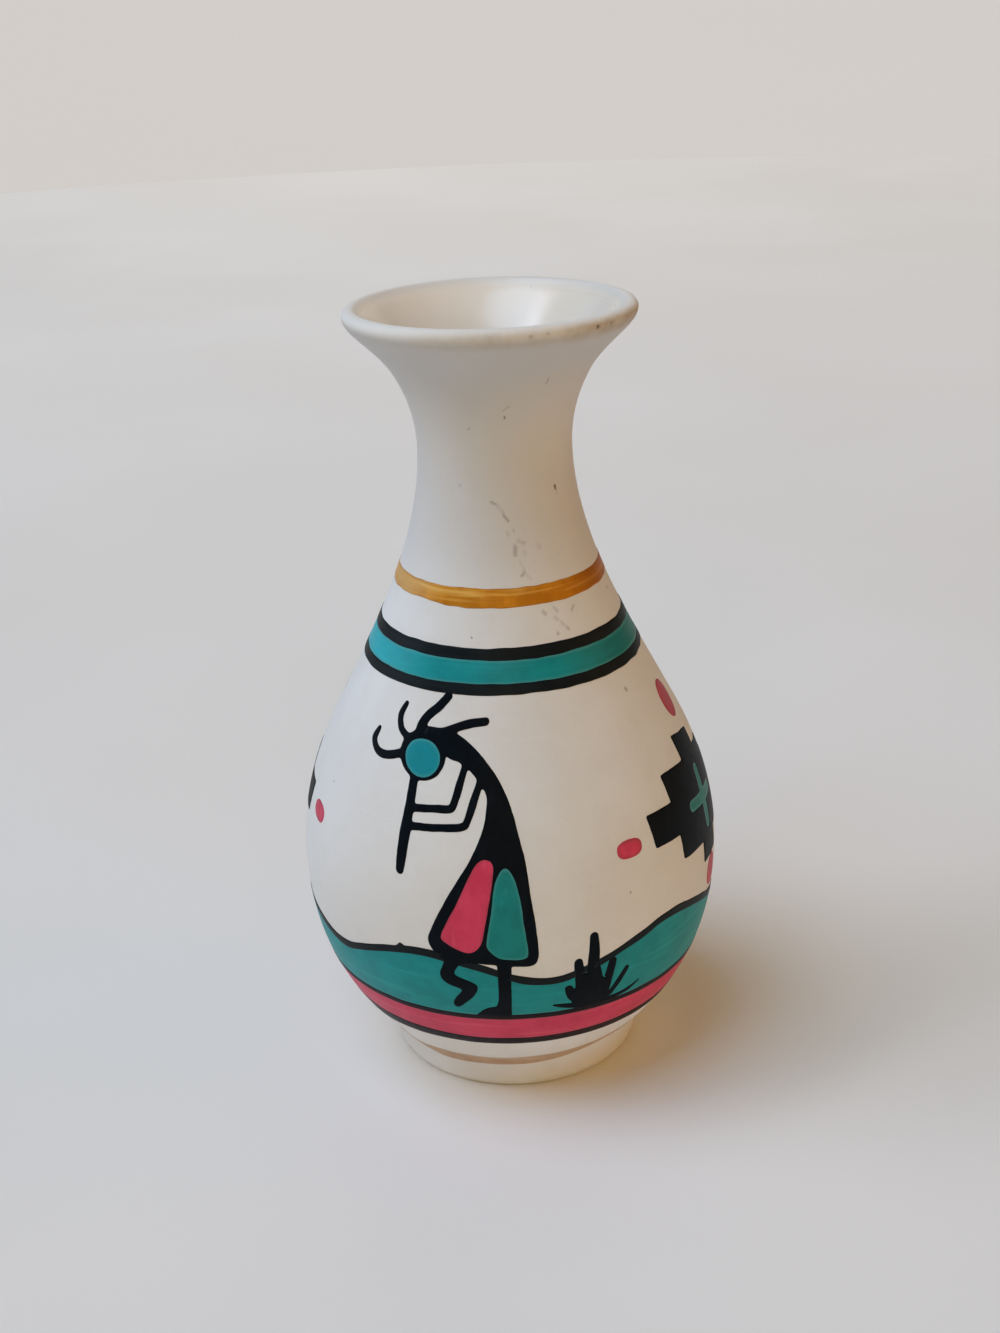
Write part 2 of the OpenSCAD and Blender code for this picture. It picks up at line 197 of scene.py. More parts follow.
class Look:
    """A material built from nodes, with patterns laid out in millimetres on the object."""

    def __init__(self, name):
        self.mat = bpy.data.materials.new(name)
        self.mat.use_nodes = True
        self.nt = self.mat.node_tree
        self.nt.nodes.clear()
        self.out = self.nt.nodes.new("ShaderNodeOutputMaterial")
        self.bsdf = self.nt.nodes.new("ShaderNodeBsdfPrincipled")
        self.nt.links.new(self.bsdf.outputs["BSDF"], self.out.inputs["Surface"])
        self.coords = self.nt.nodes.new("ShaderNodeTexCoord").outputs["Object"]

    def put(self, socket, value):
        if isinstance(value, bpy.types.NodeSocket):
            self.nt.links.new(value, socket)
        else:
            socket.default_value = value

    def set(self, **values):
        for name, value in values.items():
            self.put(self.bsdf.inputs[name.replace("_", " ")], value)

    def place(self, sx, sy, sz, shift=(0, 0, 0)):
        """Object coordinates with one pattern unit to each sx, sy, sz millimetres."""
        m = self.nt.nodes.new("ShaderNodeMapping")
        self.nt.links.new(self.coords, m.inputs["Vector"])
        m.inputs["Scale"].default_value = (1 / (sx * MM), 1 / (sy * MM), 1 / (sz * MM))
        m.inputs["Location"].default_value = shift
        return m.outputs["Vector"]

    def noise(self, vector, detail=2.0, roughness=0.5, distortion=0.0):
        n = self.nt.nodes.new("ShaderNodeTexNoise")
        self.nt.links.new(vector, n.inputs["Vector"])
        n.inputs["Scale"].default_value = 1.0
        n.inputs["Detail"].default_value = detail
        n.inputs["Roughness"].default_value = roughness
        n.inputs["Distortion"].default_value = distortion
        return n.outputs["Fac"]

    def cells(self, vector, feature="F1"):
        n = self.nt.nodes.new("ShaderNodeTexVoronoi")
        self.nt.links.new(vector, n.inputs["Vector"])
        n.feature = feature
        n.inputs["Scale"].default_value = 1.0
        return n.outputs["Distance"], n.outputs["Color"]

    def span(self, value, a, b, low=0.0, high=1.0, smooth=True):
        n = self.nt.nodes.new("ShaderNodeMapRange")
        n.interpolation_type = "SMOOTHSTEP" if smooth else "LINEAR"
        self.put(n.inputs["Value"], value)
        n.inputs["From Min"].default_value = a
        n.inputs["From Max"].default_value = b
        n.inputs["To Min"].default_value = low
        n.inputs["To Max"].default_value = high
        return n.outputs["Result"]

    def calc(self, operation, a, b=0.0, c=0.0):
        n = self.nt.nodes.new("ShaderNodeMath")
        n.operation = operation
        for socket, value in zip(n.inputs, (a, b, c)):
            self.put(socket, value)
        return n.outputs[0]

    def mix(self, share, a, b, blend="MIX"):
        n = self.nt.nodes.new("ShaderNodeMix")
        n.data_type = "RGBA"
        n.blend_type = blend
        self.put(n.inputs[0], share)
        self.put(n.inputs[6], a)
        self.put(n.inputs[7], b)
        return n.outputs[2]

    def told(self, name):
        n = self.nt.nodes.new("ShaderNodeAttribute")
        n.attribute_name = name
        return n.outputs["Fac"]

    def height(self):
        """Height above the foot, in millimetres."""
        n = self.nt.nodes.new("ShaderNodeSeparateXYZ")
        self.nt.links.new(self.coords, n.inputs[0])
        return self.calc("MULTIPLY", n.outputs[2], 1000.0)

    def bump(self, height, size_mm, strength=1.0, under=None):
        n = self.nt.nodes.new("ShaderNodeBump")
        n.inputs["Strength"].default_value = strength
        n.inputs["Distance"].default_value = size_mm * MM
        self.put(n.inputs["Height"], height)
        if under is not None:
            self.nt.links.new(under, n.inputs["Normal"])
        return n.outputs["Normal"]


def clay_look():
    k = Look("fired_clay")
    cloud = k.noise(k.place(26, 26, 30), 3, 0.55)
    patch = k.noise(k.place(6, 6, 7, (3, 1, 5)), 3, 0.6)
    wiped = k.noise(k.place(22, 22, 1.1, (9, 4, 2)), 2, 0.5)
    grain = k.noise(k.place(0.45, 0.45, 0.45), 3, 0.6)
    colour = k.mix(k.span(cloud, 0.35, 0.68), linear(0.80, 0.775, 0.735), linear(0.845, 0.83, 0.80))
    colour = k.mix(k.span(patch, 0.45, 0.75, 0, 0.35), colour, linear(0.765, 0.73, 0.68))
    colour = k.mix(k.span(wiped, 0.5, 0.8, 0, 0.22), colour, linear(0.86, 0.845, 0.82))
    colour = k.mix(k.span(grain, 0.42, 0.3, 0, 0.16, False), colour, linear(0.62, 0.57, 0.51))
    # painted shade: the neck is painted a little greyer, partly as grey from handling, and the flare under the lip
    # darkest of all
    high = k.height()
    below_lip = k.span(high, 149.4, 152.0, 1, 0)
    uneven = k.span(cloud, 0.25, 0.65, 0.8, 1.1, False)
    handled_grey_and_shade = k.calc("MULTIPLY", k.calc("MULTIPLY", k.span(high, 96, 114, 0, 0.58), below_lip), uneven)
    colour = k.mix(handled_grey_and_shade, colour, linear(0.66, 0.63, 0.595))
    # painted shade under the lip: the flare is mixed towards a dark grey
    flare_painted_shade = k.calc("MULTIPLY", k.calc("MULTIPLY", k.span(high, 126, 145, 0, 0.56), below_lip), uneven)
    colour = k.mix(flare_painted_shade, colour, linear(0.50, 0.49, 0.485))
    # a breath of glaze warms the lip
    colour = k.mix(k.span(high, 149.4, 151.4, 0, 0.7), colour, linear(0.90, 0.855, 0.775))
    # pin holes and fired-in specks, only in some cells
    near, pick = k.cells(k.place(5.5, 5.5, 5.5, (2, 7, 1)))
    rare = k.nt.nodes.new("ShaderNodeSeparateColor")
    k.nt.links.new(pick, rare.inputs[0])
    speck = k.calc("MULTIPLY", k.span(near, 0.055, 0.03), k.span(rare.outputs[0], 0.93, 0.95))
    colour = k.mix(k.calc("MULTIPLY", speck, 0.6), colour, linear(0.22, 0.16, 0.11))
    # handling marks, the lip stain, which also paints shade on the turned-under outer face of the lip, and the bare
    # rubbed edge of the foot
    colour = k.mix(k.told("stain"), colour, linear(0.42, 0.335, 0.225))
    colour = k.mix(k.told("mark"), colour, linear(0.17, 0.135, 0.105))
    low = k.span(k.height(), 0.2, 3.2, 0.25, 0.0)
    colour = k.mix(k.calc("MULTIPLY", low, k.span(patch, 0.3, 0.7)), colour, linear(0.60, 0.50, 0.38))
    rise = k.calc("ADD", k.calc("MULTIPLY", grain, 0.5), k.calc("MULTIPLY", wiped, 0.5))
    rise = k.calc("SUBTRACT", rise, k.calc("MULTIPLY", speck, 1.5))
    gloss = k.told("glossy")
    matt = k.calc("ADD", k.span(grain, 0.3, 0.7, 0.6, 0.74, False), k.calc("MULTIPLY", gloss, -0.3))
    k.set(Base_Color=colour, Roughness=matt, Normal=k.bump(rise, 0.035, 0.55))
    k.bsdf.inputs["Specular IOR Level"].default_value = 0.32
    return k.mat


def glaze_look():
    k = Look("inner_glaze_gloss")
    cloud = k.noise(k.place(16, 16, 24, (1, 8, 3)), 1, 0.45)
    run = k.noise(k.place(5, 5, 26, (5, 2, 9)), 1, 0.4)
    colour = k.mix(k.span(cloud, 0.3, 0.75), linear(0.905, 0.825, 0.705), linear(0.925, 0.86, 0.76))
    colour = k.mix(k.span(run, 0.3, 0.85, 0, 0.3), colour, linear(0.87, 0.765, 0.62))
    near, pick = k.cells(k.place(4.2, 4.2, 4.2, (1, 3, 6)))
    rare = k.nt.nodes.new("ShaderNodeSeparateColor")
    k.nt.links.new(pick, rare.inputs[0])
    speck = k.calc("MULTIPLY", k.span(near, 0.06, 0.03), k.span(rare.outputs[0], 0.84, 0.88))
    colour = k.mix(k.calc("MULTIPLY", speck, 0.7), colour, linear(0.28, 0.19, 0.12))
    # the coat thins out over the lip, where the clay shows through
    thin = k.told("thin")
    colour = k.mix(k.calc("MULTIPLY", thin, 0.85), colour, linear(0.80, 0.775, 0.735))
    matt = k.calc("ADD", k.calc("MULTIPLY", thin, 0.16), 0.265)
    k.set(Base_Color=colour, Roughness=matt)
    k.bsdf.inputs["Specular IOR Level"].default_value = 0.75
    return k.mat


def paint_look(name, main, thin, thick, along, shine, streak=0.5, rim=None, rim_share=0.0, gleam=0.25, other=None, deep=None, rim_at=(0.08, 0.42), hairs=0.45, pools=0.75):
    """Brushed paint. along is "round" for strokes that go round the vase and "up" for upright ones. other is the colour
    where the brush carried more water, and on the gold and teal shoulder bands the paler colour of painted light and
    sheen on their left; deep is the one where it laid more paint, and on those bands the darker colour of painted shade
    on their right, as the piece itself tells."""
    k = Look(name)
    if along == "round":
        hair = k.noise(k.place(26, 26, hairs), 3, 0.55, 0.3)
        broad = k.noise(k.place(17, 17, 1.5, (4, 4, 4)), 2, 0.5, 0.4)
    else:
        hair = k.noise(k.place(0.42, 0.42, 9), 3, 0.55, 0.3)
        broad = k.noise(k.place(1.9, 1.9, 11, (4, 4, 4)), 2, 0.5, 0.4)
    pool = k.noise(k.place(4.2, 4.2, 4.2, (8, 1, 3)), 3, 0.55)
    tooth = k.noise(k.place(0.3, 0.3, 0.3), 2, 0.5)
    colour = k.mix(k.span(pool, 0.36, 0.66, 0, pools), main, thick)
    colour = k.mix(k.span(broad, 0.5, 0.74, 0, streak), colour, thin)
    colour = k.mix(k.span(hair, 0.54, 0.78, 0, streak * 0.8), colour, thin)
    # on the gold and teal shoulder bands this paints light and sheen: their paint is made paler on the left
    if other is not None:
        colour = k.mix(k.calc("MULTIPLY", k.told("coat"), k.span(broad, 0.3, 0.65, 0.7, 1.0)), colour, other)
    # on the gold and teal shoulder bands this paints shade: their paint is made darker on the right side
    if deep is not None:
        colour = k.mix(k.calc("MULTIPLY", k.told("deep"), k.span(broad, 0.3, 0.65, 1.0, 0.75)), colour, deep)
    if rim is not None:
        edge = k.span(k.told("edge"), rim_at[0], rim_at[1], rim_share, 0.0)
        colour = k.mix(k.calc("MULTIPLY", edge, k.span(pool, 0.3, 0.6, 0.35, 1.0)), colour, rim)
    rise = k.calc("ADD", k.calc("MULTIPLY", hair, 0.7), k.calc("MULTIPLY", tooth, 0.3))
    matt = k.calc("ADD", k.span(hair, 0.3, 0.75, shine - 0.05, shine + 0.08, False), k.span(tooth, 0.3, 0.7, -0.03, 0.03, False))
    k.set(Base_Color=colour, Roughness=matt, Normal=k.bump(rise, 0.03, 0.5))
    k.bsdf.inputs["Specular IOR Level"].default_value = gleam
    return k


CLAY = clay_look()
GLAZED = glaze_look()
BLACK_ROUND = paint_look("black_brushed_round", linear(0.0078, 0.0128, 0.0150), linear(0.0155, 0.0210, 0.0245),
                         linear(0.0056, 0.0090, 0.0110), "round", 0.45, gleam=0.10).mat
BLACK_UP = paint_look("black_brushed", linear(0.0025, 0.0054, 0.0092), linear(0.0070, 0.0105, 0.0155),
                      linear(0.0018, 0.0038, 0.0066), "up", 0.45, gleam=0.06).mat
BLACK_ON_PINK = paint_look("black_brushed_on_pink", linear(0.0105, 0.0048, 0.0080), linear(0.034, 0.0105, 0.018),
                           linear(0.0055, 0.0035, 0.0048), "round", 0.45, gleam=0.11).mat
# the colours (0.027, 0.465, 0.53) and (0.005, 0.165, 0.155) are painted light and sheen on the shoulder band's left and
# painted shade on its right
TEAL_ROUND = paint_look("teal_brushed_round", linear(0.0062, 0.292, 0.302), linear(0.018, 0.365, 0.385),
                        linear(0.0045, 0.235, 0.246), "round", 0.43, 0.45, linear(0.09, 0.33, 0.335), 0.55, 0.2,
                        linear(0.027, 0.465, 0.53), linear(0.005, 0.165, 0.155), (0.35, 0.8)).mat
TEAL_UP = paint_look("teal_brushed", linear(0.006, 0.25, 0.238), linear(0.017, 0.33, 0.315), linear(0.004, 0.195, 0.188),
                     "up", 0.43, 0.45, linear(0.085, 0.35, 0.345), 0.5, 0.2, linear(0.007, 0.268, 0.318), linear(0.005, 0.165, 0.15),
                     (0.35, 0.85)).mat
PINK_ROUND = paint_look("pink_brushed_round", linear(0.68, 0.047, 0.117), linear(0.78, 0.10, 0.17), linear(0.57, 0.030, 0.083),
                        "round", 0.43, 0.45, linear(0.52, 0.10, 0.15), 0.5, 0.22, rim_at=(0.3, 0.75)).mat
PINK_UP = paint_look("pink_brushed", linear(0.75, 0.052, 0.124), linear(0.82, 0.10, 0.178), linear(0.64, 0.037, 0.096),
                     "up", 0.43, 0.45, linear(0.40, 0.055, 0.08), 0.6, 0.22, None, linear(0.40, 0.055, 0.07), (0.3, 0.85)).mat
TAN = paint_look("tan_brushed_round", linear(0.56, 0.375, 0.245), linear(0.68, 0.53, 0.39), linear(0.46, 0.29, 0.175),
                 "round", 0.5, 0.6, linear(0.62, 0.50, 0.37), 0.5, 0.3).mat


def gold_look():
    # the colours (0.70, 0.43, 0.16) and (0.37, 0.105, 0.003) are painted light and sheen on the band's left and painted
    # shade on its right
    k = paint_look("gold_brushed_round", linear(0.70, 0.275, 0.018), linear(0.88, 0.50, 0.11), linear(0.45, 0.14, 0.006), "round", 0.4,
                   0.9, linear(0.42, 0.19, 0.035), 0.45, 0.1, linear(0.70, 0.43, 0.16), linear(0.37, 0.105, 0.003), (0.05, 0.4), 0.42, 0.6)
    k.bsdf.inputs["Metallic"].default_value = 0.1
    return k.mat


GOLD = gold_look()


# ------------------------------------------------------------------ clay shell and glaze
def bezier(a, b, c, d, n):
    a, b, c, d = (np.array(v, float) for v in (a, b, c, d))
    t = (np.arange(1, n + 1) / n)[:, None]
    u = 1 - t
    return u**3 * a + 3 * u * u * t * b + 3 * u * t * t * c + t**3 * d


def set_in(z, depth):
    """Points of the outside moved in by depth, square to it."""
    r, s = side(z)
    n = np.sqrt(1 + s * s)
    return np.stack([r - depth / n, z + depth * s / n], -1)


def up_way(z):
    s = float(side(z)[1])
    return np.array([s, 1]) / math.hypot(s, 1)


ROLL_Z = TOP - 8.9
LIP_A, LIP_B, LIP_C = np.array([25.2, 148.0]), np.array([27.0, TOP - 1.4]), np.array([25.4, TOP])
LIP_D, LIP_E, INTO = set_in(ROLL_Z, WALL), LIP_C - [1.15, 0.5], np.array([0.72, 0.69])
LIP = np.vstack([
    bezier(LIP_A, LIP_A + 1.4 * up_way(148.0), LIP_B - [0, 0.9], LIP_B, 9),
    bezier(LIP_B, LIP_B + [0, 0.8], LIP_C + [0.85, 0], LIP_C, 12),
    bezier(LIP_C, LIP_C - [0.6, 0], LIP_E + 0.5 * INTO, LIP_E, 6),
    bezier(LIP_E, LIP_E - 2.5 * INTO, LIP_D + 2.5 * up_way(ROLL_Z), LIP_D, 14)])
CREST = 20


def lip_drop(turn_rad, z):
    """The rim was trimmed by hand, so it isn't quite level: it is lowest at the back."""
    return -(0.45 * (1 - np.cos(turn_rad)) + 0.05 * (1 - np.cos(2 * turn_rad))) * ease(132, 151, z)


def cavity(depth, count):
    """The inside from below the lip to the floor, depth inside the outer face."""
    wall = set_in(np.concatenate([np.linspace(ROLL_Z - 0.5, 136, 14), np.linspace(136, 8.2, count)[1:]]), depth)
    last = wall[-1]
    turn = math.pi / 2 - math.atan(KS[0])
    arc = (last[1] - (FLOOR_Z + depth - WALL)) / (1 - math.cos(turn))
    a = turn * (1 - np.arange(1, 9) / 8)
    bowl = np.stack([last[0] - arc * (math.sin(turn) - np.sin(a)), FLOOR_Z + depth - WALL + arc * (1 - np.cos(a))], -1)
    r = bowl[-1][0]
    flat = np.array([[r * f, FLOOR_Z + depth - WALL] for f in (0.72, 0.42, 0.16)])
    return np.vstack([wall, bowl, flat])


def travel(points):
    return np.concatenate([[0], np.cumsum(np.linalg.norm(np.diff(points, axis=0), axis=1))])


# Handling marks on the neck: turn and height of both ends, width, depth of tone
MARKS = [
    (-4.3, 118.7, -0.5, 118.1, 0.30, 0.46), (0.2, 117.9, 4.2, 116.7, 0.45, 0.15), (4.0, 116.2, 6.8, 115.1, 0.32, 0.46),
    (9.9, 113.4, 10.2, 113.2, 0.36, 0.24), (5.8, 113.0, 6.4, 112.6, 0.40, 0.20), (12.4, 111.5, 16.0, 110.9, 0.46, 0.22),
    (10.4, 110.5, 10.1, 109.3, 0.60, 0.36), (15.4, 109.4, 16.0, 109.0, 0.45, 0.14), (25.4, 110.1, 26.2, 109.8, 0.70, 0.13),
    (12.2, 107.7, 14.4, 106.6, 0.26, 0.16), (14.4, 106.1, 13.8, 105.7, 0.34, 0.26), (13.6, 105.6, 12.2, 105.3, 0.34, 0.46),
    (15.0, 105.6, 17.8, 104.5, 0.24, 0.18),
    (21.4, 98.8, 22.6, 98.4, 0.50, 0.34), (28.0, 99.2, 29.4, 98.3, 0.42, 0.28), (39.8, 98.6, 37.8, 97.8, 0.30, 0.36),
    (27.4, 97.2, 29.0, 96.9, 0.50, 0.22), (30.2, 96.4, 32.4, 95.4, 0.36, 0.24), (32.6, 95.3, 33.3, 95.0, 0.36, 0.40),
    (26.9, 94.7, 27.3, 94.5, 0.36, 0.42), (73.8, 98.2, 74.4, 98.0, 0.40, 0.5),
    (45.6, 119.9, 45.9, 119.4, 0.34, 1.0), (46.8, 118.8, 47.2, 118.4, 0.40, 0.15),
    (6.7, 134.5, 7.0, 134.3, 0.28, 0.85), (6.4, 135.9, 9.4, 136.5, 0.22, 0.34), (30.5, 140.4, 30.8, 141.4, 0.22, 0.42),
    (-16.8, 132.3, -16.5, 132.1, 0.26, 0.5), (-26.6, 121.4, -26.3, 121.3, 0.28, 0.2), (52.3, 82.1, 52.7, 81.9, 0.42, 0.55)]


def marked(turn, z):
    """How dark the handling marks are at a place on the outside."""
    total = np.zeros_like(z)
    r = side(z)[0]
    for k, (t0, z0, t1, z1, width, tone) in enumerate(MARKS):
        mid = 0.5 * (t0 + t1)
        x = np.radians((turn - mid + 180) % 360 - 180) * r
        zone = (np.abs(x) < 6) & (np.abs(z - 0.5 * (z0 + z1)) < 6)
        if not zone.any():
            continue
        px, pz = x[zone], z[zone]
        rr = float(side(0.5 * (z0 + z1))[0])
        a, b = np.array([math.radians(t0 - mid) * rr, z0]), np.array([math.radians(t1 - mid) * rr, z1])
        ab = b - a
        f = np.clip(((px - a[0]) * ab[0] + (pz - a[1]) * ab[1]) / max(ab @ ab, 1e-9), 0, 1)
        d = np.hypot(px - a[0] - f * ab[0], pz - a[1] - f * ab[1])
        d = d + 0.22 * width * rough(px / 0.33 + 31 * k, pz / 0.33, 5) + 0.2 * width * rough(px / 0.8 + 17 * k, pz / 0.8, 6)
        total[zone] = np.maximum(total[zone], tone * (1 - ease(0.35 * width, 1.0 * width, d)))
    return total


def build_shell():
    turns = np.concatenate([np.arange(-14, 55.99, 0.5), np.linspace(56, 346, 182, endpoint=False)])
    under = [(0, RECESS), (6, RECESS), (12, RECESS), (15.2, RECESS), (16.0, 1.14), (16.5, 0.93), (16.9, 0.58),
             (17.2, 0.28), (17.6, 0.07), (18.1, 0.0), (19.4, 0.0), (20.8, 0.0), (21.8, 0.0)]
    a = np.radians(np.linspace(0, 64, 9))
    foot = np.stack([FOOT_SIDE_R - (FOOT_SIDE_R - FOOT_R) * (1 - np.sin(a)), FOOT_SIDE_Z * (1 - np.cos(a))], -1)
    z = np.concatenate([np.linspace(2.5, 13, 22), np.linspace(14, 80.4, 56), np.linspace(80.8, 83.4, 10),
                        np.linspace(84.4, 91.5, 7), np.linspace(92, 143, 158), np.linspace(143.8, 148, 6)])
    z = z[z > foot[-1][1] + 0.2]
    outer = np.stack([side(z)[0], z], -1)
    inner = cavity(WALL, 30)
    line = np.vstack([np.array(under), foot, outer, LIP, inner, [[0, FLOOR_Z]]])
    n_under, n_foot, n_out, n_lip = len(under), len(foot), len(outer), len(LIP)
    first_out = n_under
    first_in = n_under + n_foot + n_out + n_lip
    rows = len(line)
    t = np.radians(turns)

    def shape(i):
        r, zz = line[i]
        rr = r + (dent(turns, np.full(len(turns), zz)) if first_out <= i < first_in - n_lip else 0.0)
        zz = np.full(len(turns), zz)
        zz = zz + lip_drop(t, zz)
        return np.stack([rr * np.sin(t), -rr * np.cos(t), zz], -1)

    s = travel(line)
    unit = 262.0
    full = np.concatenate([turns, [turns[0] + 360]])
    out_s0, out_s1 = s[n_under - 4], s[first_in - 1]

    def uv_of(i, j):
        low, part = int(j), j - int(j)
        turn = full[low] + (full[min(low + 1, len(full) - 1)] - full[low]) * part
        f = (turn - full[0]) / 360
        if i <= n_under - 4:
            q = math.radians(turn)
            r = line[i][0] / unit
            return (0.09 + r * math.sin(q), 0.09 - r * math.cos(q))
        if i < first_in:
            return (0.005 + 0.985 * f, 0.25 + (s[i] - out_s0) / unit)
        g = (s[i] - s[first_in - 1]) / (s[-1] - s[first_in - 1])
        return (0.2 + 0.79 * f, 0.23 - 0.21 * g)

    def attrs(start, total):
        mark, stain, glossy = np.zeros(total), np.zeros(total), np.zeros(total)
        for i in range(first_out, first_in):
            zz = np.full(len(turns), line[i][1])
            sl = slice(start[i], start[i] + len(turns))
            if i < first_in - n_lip:
                mark[sl] = marked(turns, zz)
            else:
                k = i - (first_in - n_lip)
                glossy[sl] = ease(12, 22, k)
                # brown stain on the outer face of the lip, with painted shade where this face turns under and on the
                # right side: none on the left, more and more towards the right
                tt = (turns + 180) % 360 - 180
                share = 0.03 + 0.33 * ease(-50, 8, tt) + 0.28 * ease(14, 52, tt) - 0.61 * ease(100, 172, tt)
                band = ease(-1, 6, k) * (1 - ease(9, 18, k))
                spot = 0.78 + 0.3 * rough(turns / 5.0, zz / 1.3, 12) + 0.22 * rough(turns / 1.6, zz, 13)
                stain[sl] = band * share * np.clip(spot, 0, 1.2)
                for t0, k0, tone in ((43.3, 8, 1.0), (51, 8, 0.45), (14.6, 8, 0.34), (21.4, 9, 0.2)):
                    away = np.hypot((turns - t0) / 1.15, (k - k0) / 1.9)
                    mark[sl] = np.maximum(mark[sl], tone * (1 - ease(0.4, 1.0, away)))
        return {"mark": mark, "stain": stain, "glossy": glossy}

    return turned("clay_shell", turns, rows, shape, uv_of, attrs, caps=(0, rows - 1))


def build_lining():
    turns = np.linspace(-180, 180, 200, endpoint=False)
    t = np.radians(turns)
    # from the back of the coat up to its feather edge at the crest, then down over its shiny face
    def off(points, gap):
        run = np.gradient(points, axis=0)
        run /= np.linalg.norm(run, axis=1)[:, None]
        return points + np.stack([run[:, 1], -run[:, 0]], -1) * np.asarray(gap)[..., None]

    wet = LIP[CREST + 2:]
    back = np.vstack([wet[::3], cavity(WALL, 30)])
    back = off(back, np.full(len(back), -0.05))[::-1]
    face = np.vstack([wet, cavity(WALL, 90)])
    gone = travel(face)
    face = off(face, 0.01 + (GLAZE - 0.01) * ease(0, 4, gone))
    edge = LIP[CREST + 1]
    line = np.vstack([[[0, FLOOR_Z - 0.05]], back, [edge], face, [[0, FLOOR_Z + GLAZE]]])
    rows = len(line)
    s = travel(line)
    turn_row = 1 + len(back)
    full = np.concatenate([turns, [180.0]])

    def shape(i):
        r, z = line[i]
        if i > turn_row + 4:  # the poured coat is a little uneven
            r = r + 0.05 * np.sin(3 * t + z / 13) * ease(0, 6, s[i] - s[turn_row]) * (r > 3)
        return np.stack([r * np.sin(t), -r * np.cos(t), z + lip_drop(t, z)], -1)

    def uv_of(i, j):
        low, part = int(j), j - int(j)
        f = (full[low] + (full[min(low + 1, len(full) - 1)] - full[low]) * part + 180) / 360
        if i < turn_row:
            return (0.01 + 0.98 * f, 0.01 + 0.08 * s[i] / s[turn_row])
        return (0.01 + 0.98 * f, 0.10 + 0.89 * (s[i] - s[turn_row]) / (s[-1] - s[turn_row]))

    def attrs(start, total):
        thin = np.zeros(total)
        for i in range(turn_row, rows - 1):
            thin[start[i]:start[i] + len(turns)] = 1 - ease(0.3, 3, s[i] - s[turn_row])
        return {"thin": thin}

    ob = turned("glaze_lining", turns, rows, shape, uv_of, attrs, caps=(0, rows - 1))
    crisp(ob, 1 + (turn_row - 1) * len(turns), len(turns))
    return ob


# ------------------------------------------------------------------ painted bands
def strip(name, low, high, lift, inner=5, parts=8, extra=None):
    """Closed films of paint round the vase. low and high give the lower and upper edge at each turn, one pair to a
    film. lift is the film's thickness, soft at both edges."""
    turns = np.linspace(-180, 180, 720, endpoint=False)
    n = len(turns)
    lows, highs = (low, high) if isinstance(low, list) else ([low], [high])
    verts, faces, uvs, edge, more, rich_paint_and_shade = [], [], [], [], [], []
    for b, (lo, hi) in enumerate(zip(lows, highs)):
        z0, z1 = lo(turns), hi(turns)
        wide = z1 - z0
        soft = np.minimum(0.16, 0.3 * wide)
        f = np.linspace(0, 1, inner + 2)[1:-1]
        ladder = ([(z0, -0.02), (z0, 0.4), (z0 + soft, 1.0)] + [(z0 + soft + (wide - 2 * soft) * q, 1.0) for q in f]
                  + [(z1 - soft, 1.0), (z1, 0.4), (z1, -0.02)] + [(z0 + wide * q, -0.02) for q in (0.75, 0.5, 0.25)])
        base = sum(len(v) for v in verts)
        rows = len(ladder)
        for q, (z, h) in enumerate(ladder):
            thick = lift * (1 + 0.12 * rough(turns / 4.0 + 50 * b, z / 0.8, 21)) if h == 1.0 else lift * h
            thick = np.where(h < 0, -0.02, thick)
            verts.append(skin(turns, z, thick))
            edge.append(np.minimum(z - z0, z1 - z))
            # painted light and shade: extra makes the band paler on its left as painted sheen, and the next line
            # darkens its right side as painted shade
            more.append(extra(turns, (z - z0) / np.maximum(wide, 1e-6)) if extra else np.zeros(n))
            rich_paint_and_shade.append(ease(22, 62, turns) * (1 - ease(120, 170, turns)) * (0.85 if extra else 0.0))
        mean = float(wide.mean())
        size = np.array([0.0] + [0.1, 0.16] + [(mean - 0.32) / (inner + 1)] * (inner + 1) + [0.16, 0.1])
        v_at = np.concatenate([np.cumsum(size), np.cumsum(size)[-1] + 0.12 * np.arange(1, 5)])
        length = 2 * math.pi * float(side(0.5 * (z0 + z1))[0].mean())
        lane = v_at[-1] + 0.35
        for q in range(rows):
            qq = (q + 1) % rows
            for j in range(n):
                k = (j + 1) % n
                faces.append((base + q * n + j, base + q * n + k, base + qq * n + k, base + qq * n + j))
                part = j * parts // n
                u0, u1 = j * parts / n - part, (j + 1) * parts / n - part
                va, vb = v_at[q], v_at[q + 1]
                shift = (b * parts + part) * lane
                uvs += [(u0 * length / parts, shift + va), (u1 * length / parts, shift + va),
                        (u1 * length / parts, shift + vb), (u0 * length / parts, shift + vb)]
    uvs = np.array(uvs)
    uvs = 0.005 + 0.99 * uvs / np.maximum(uvs.max(0), 1e-6)
    told = {"edge": np.concatenate(edge), "coat": np.concatenate(more), "deep": np.concatenate(rich_paint_and_shade)}
    return make(name, np.vstack(verts), faces, uvs, told)


def level(z, seed, size=0.09, low=2, high=40):
    return lambda t: z + size * sway(t, seed, low, high)


HILL = np.array([
    (-180, 37.6), (-163, 40), (-150, 40.6), (-135, 39.2), (-120, 37.4), (-108, 36.6), (-95, 37.2), (-85, 37.6), (-75, 37),
    (-66, 35.9), (-58, 35), (-52, 35.1), (-46, 36.4), (-40, 37.8), (-34, 39), (-28, 39.8), (-22, 39.8), (-15, 38.8),
    (-9, 37.7), (-4, 36.4), (2, 34.9), (8, 34.1), (13, 34.3), (18, 35.2), (24, 36.5), (31, 38.3), (37, 39.6), (43, 40.7),
    (49, 40.9), (57, 39.9), (64, 38.5), (71, 37), (82, 35.2), (95, 34.4), (110, 35.4), (125, 37.6), (140, 39.5), (150, 39.8),
    (165, 39)], float)
HILL_LINE = 1.7


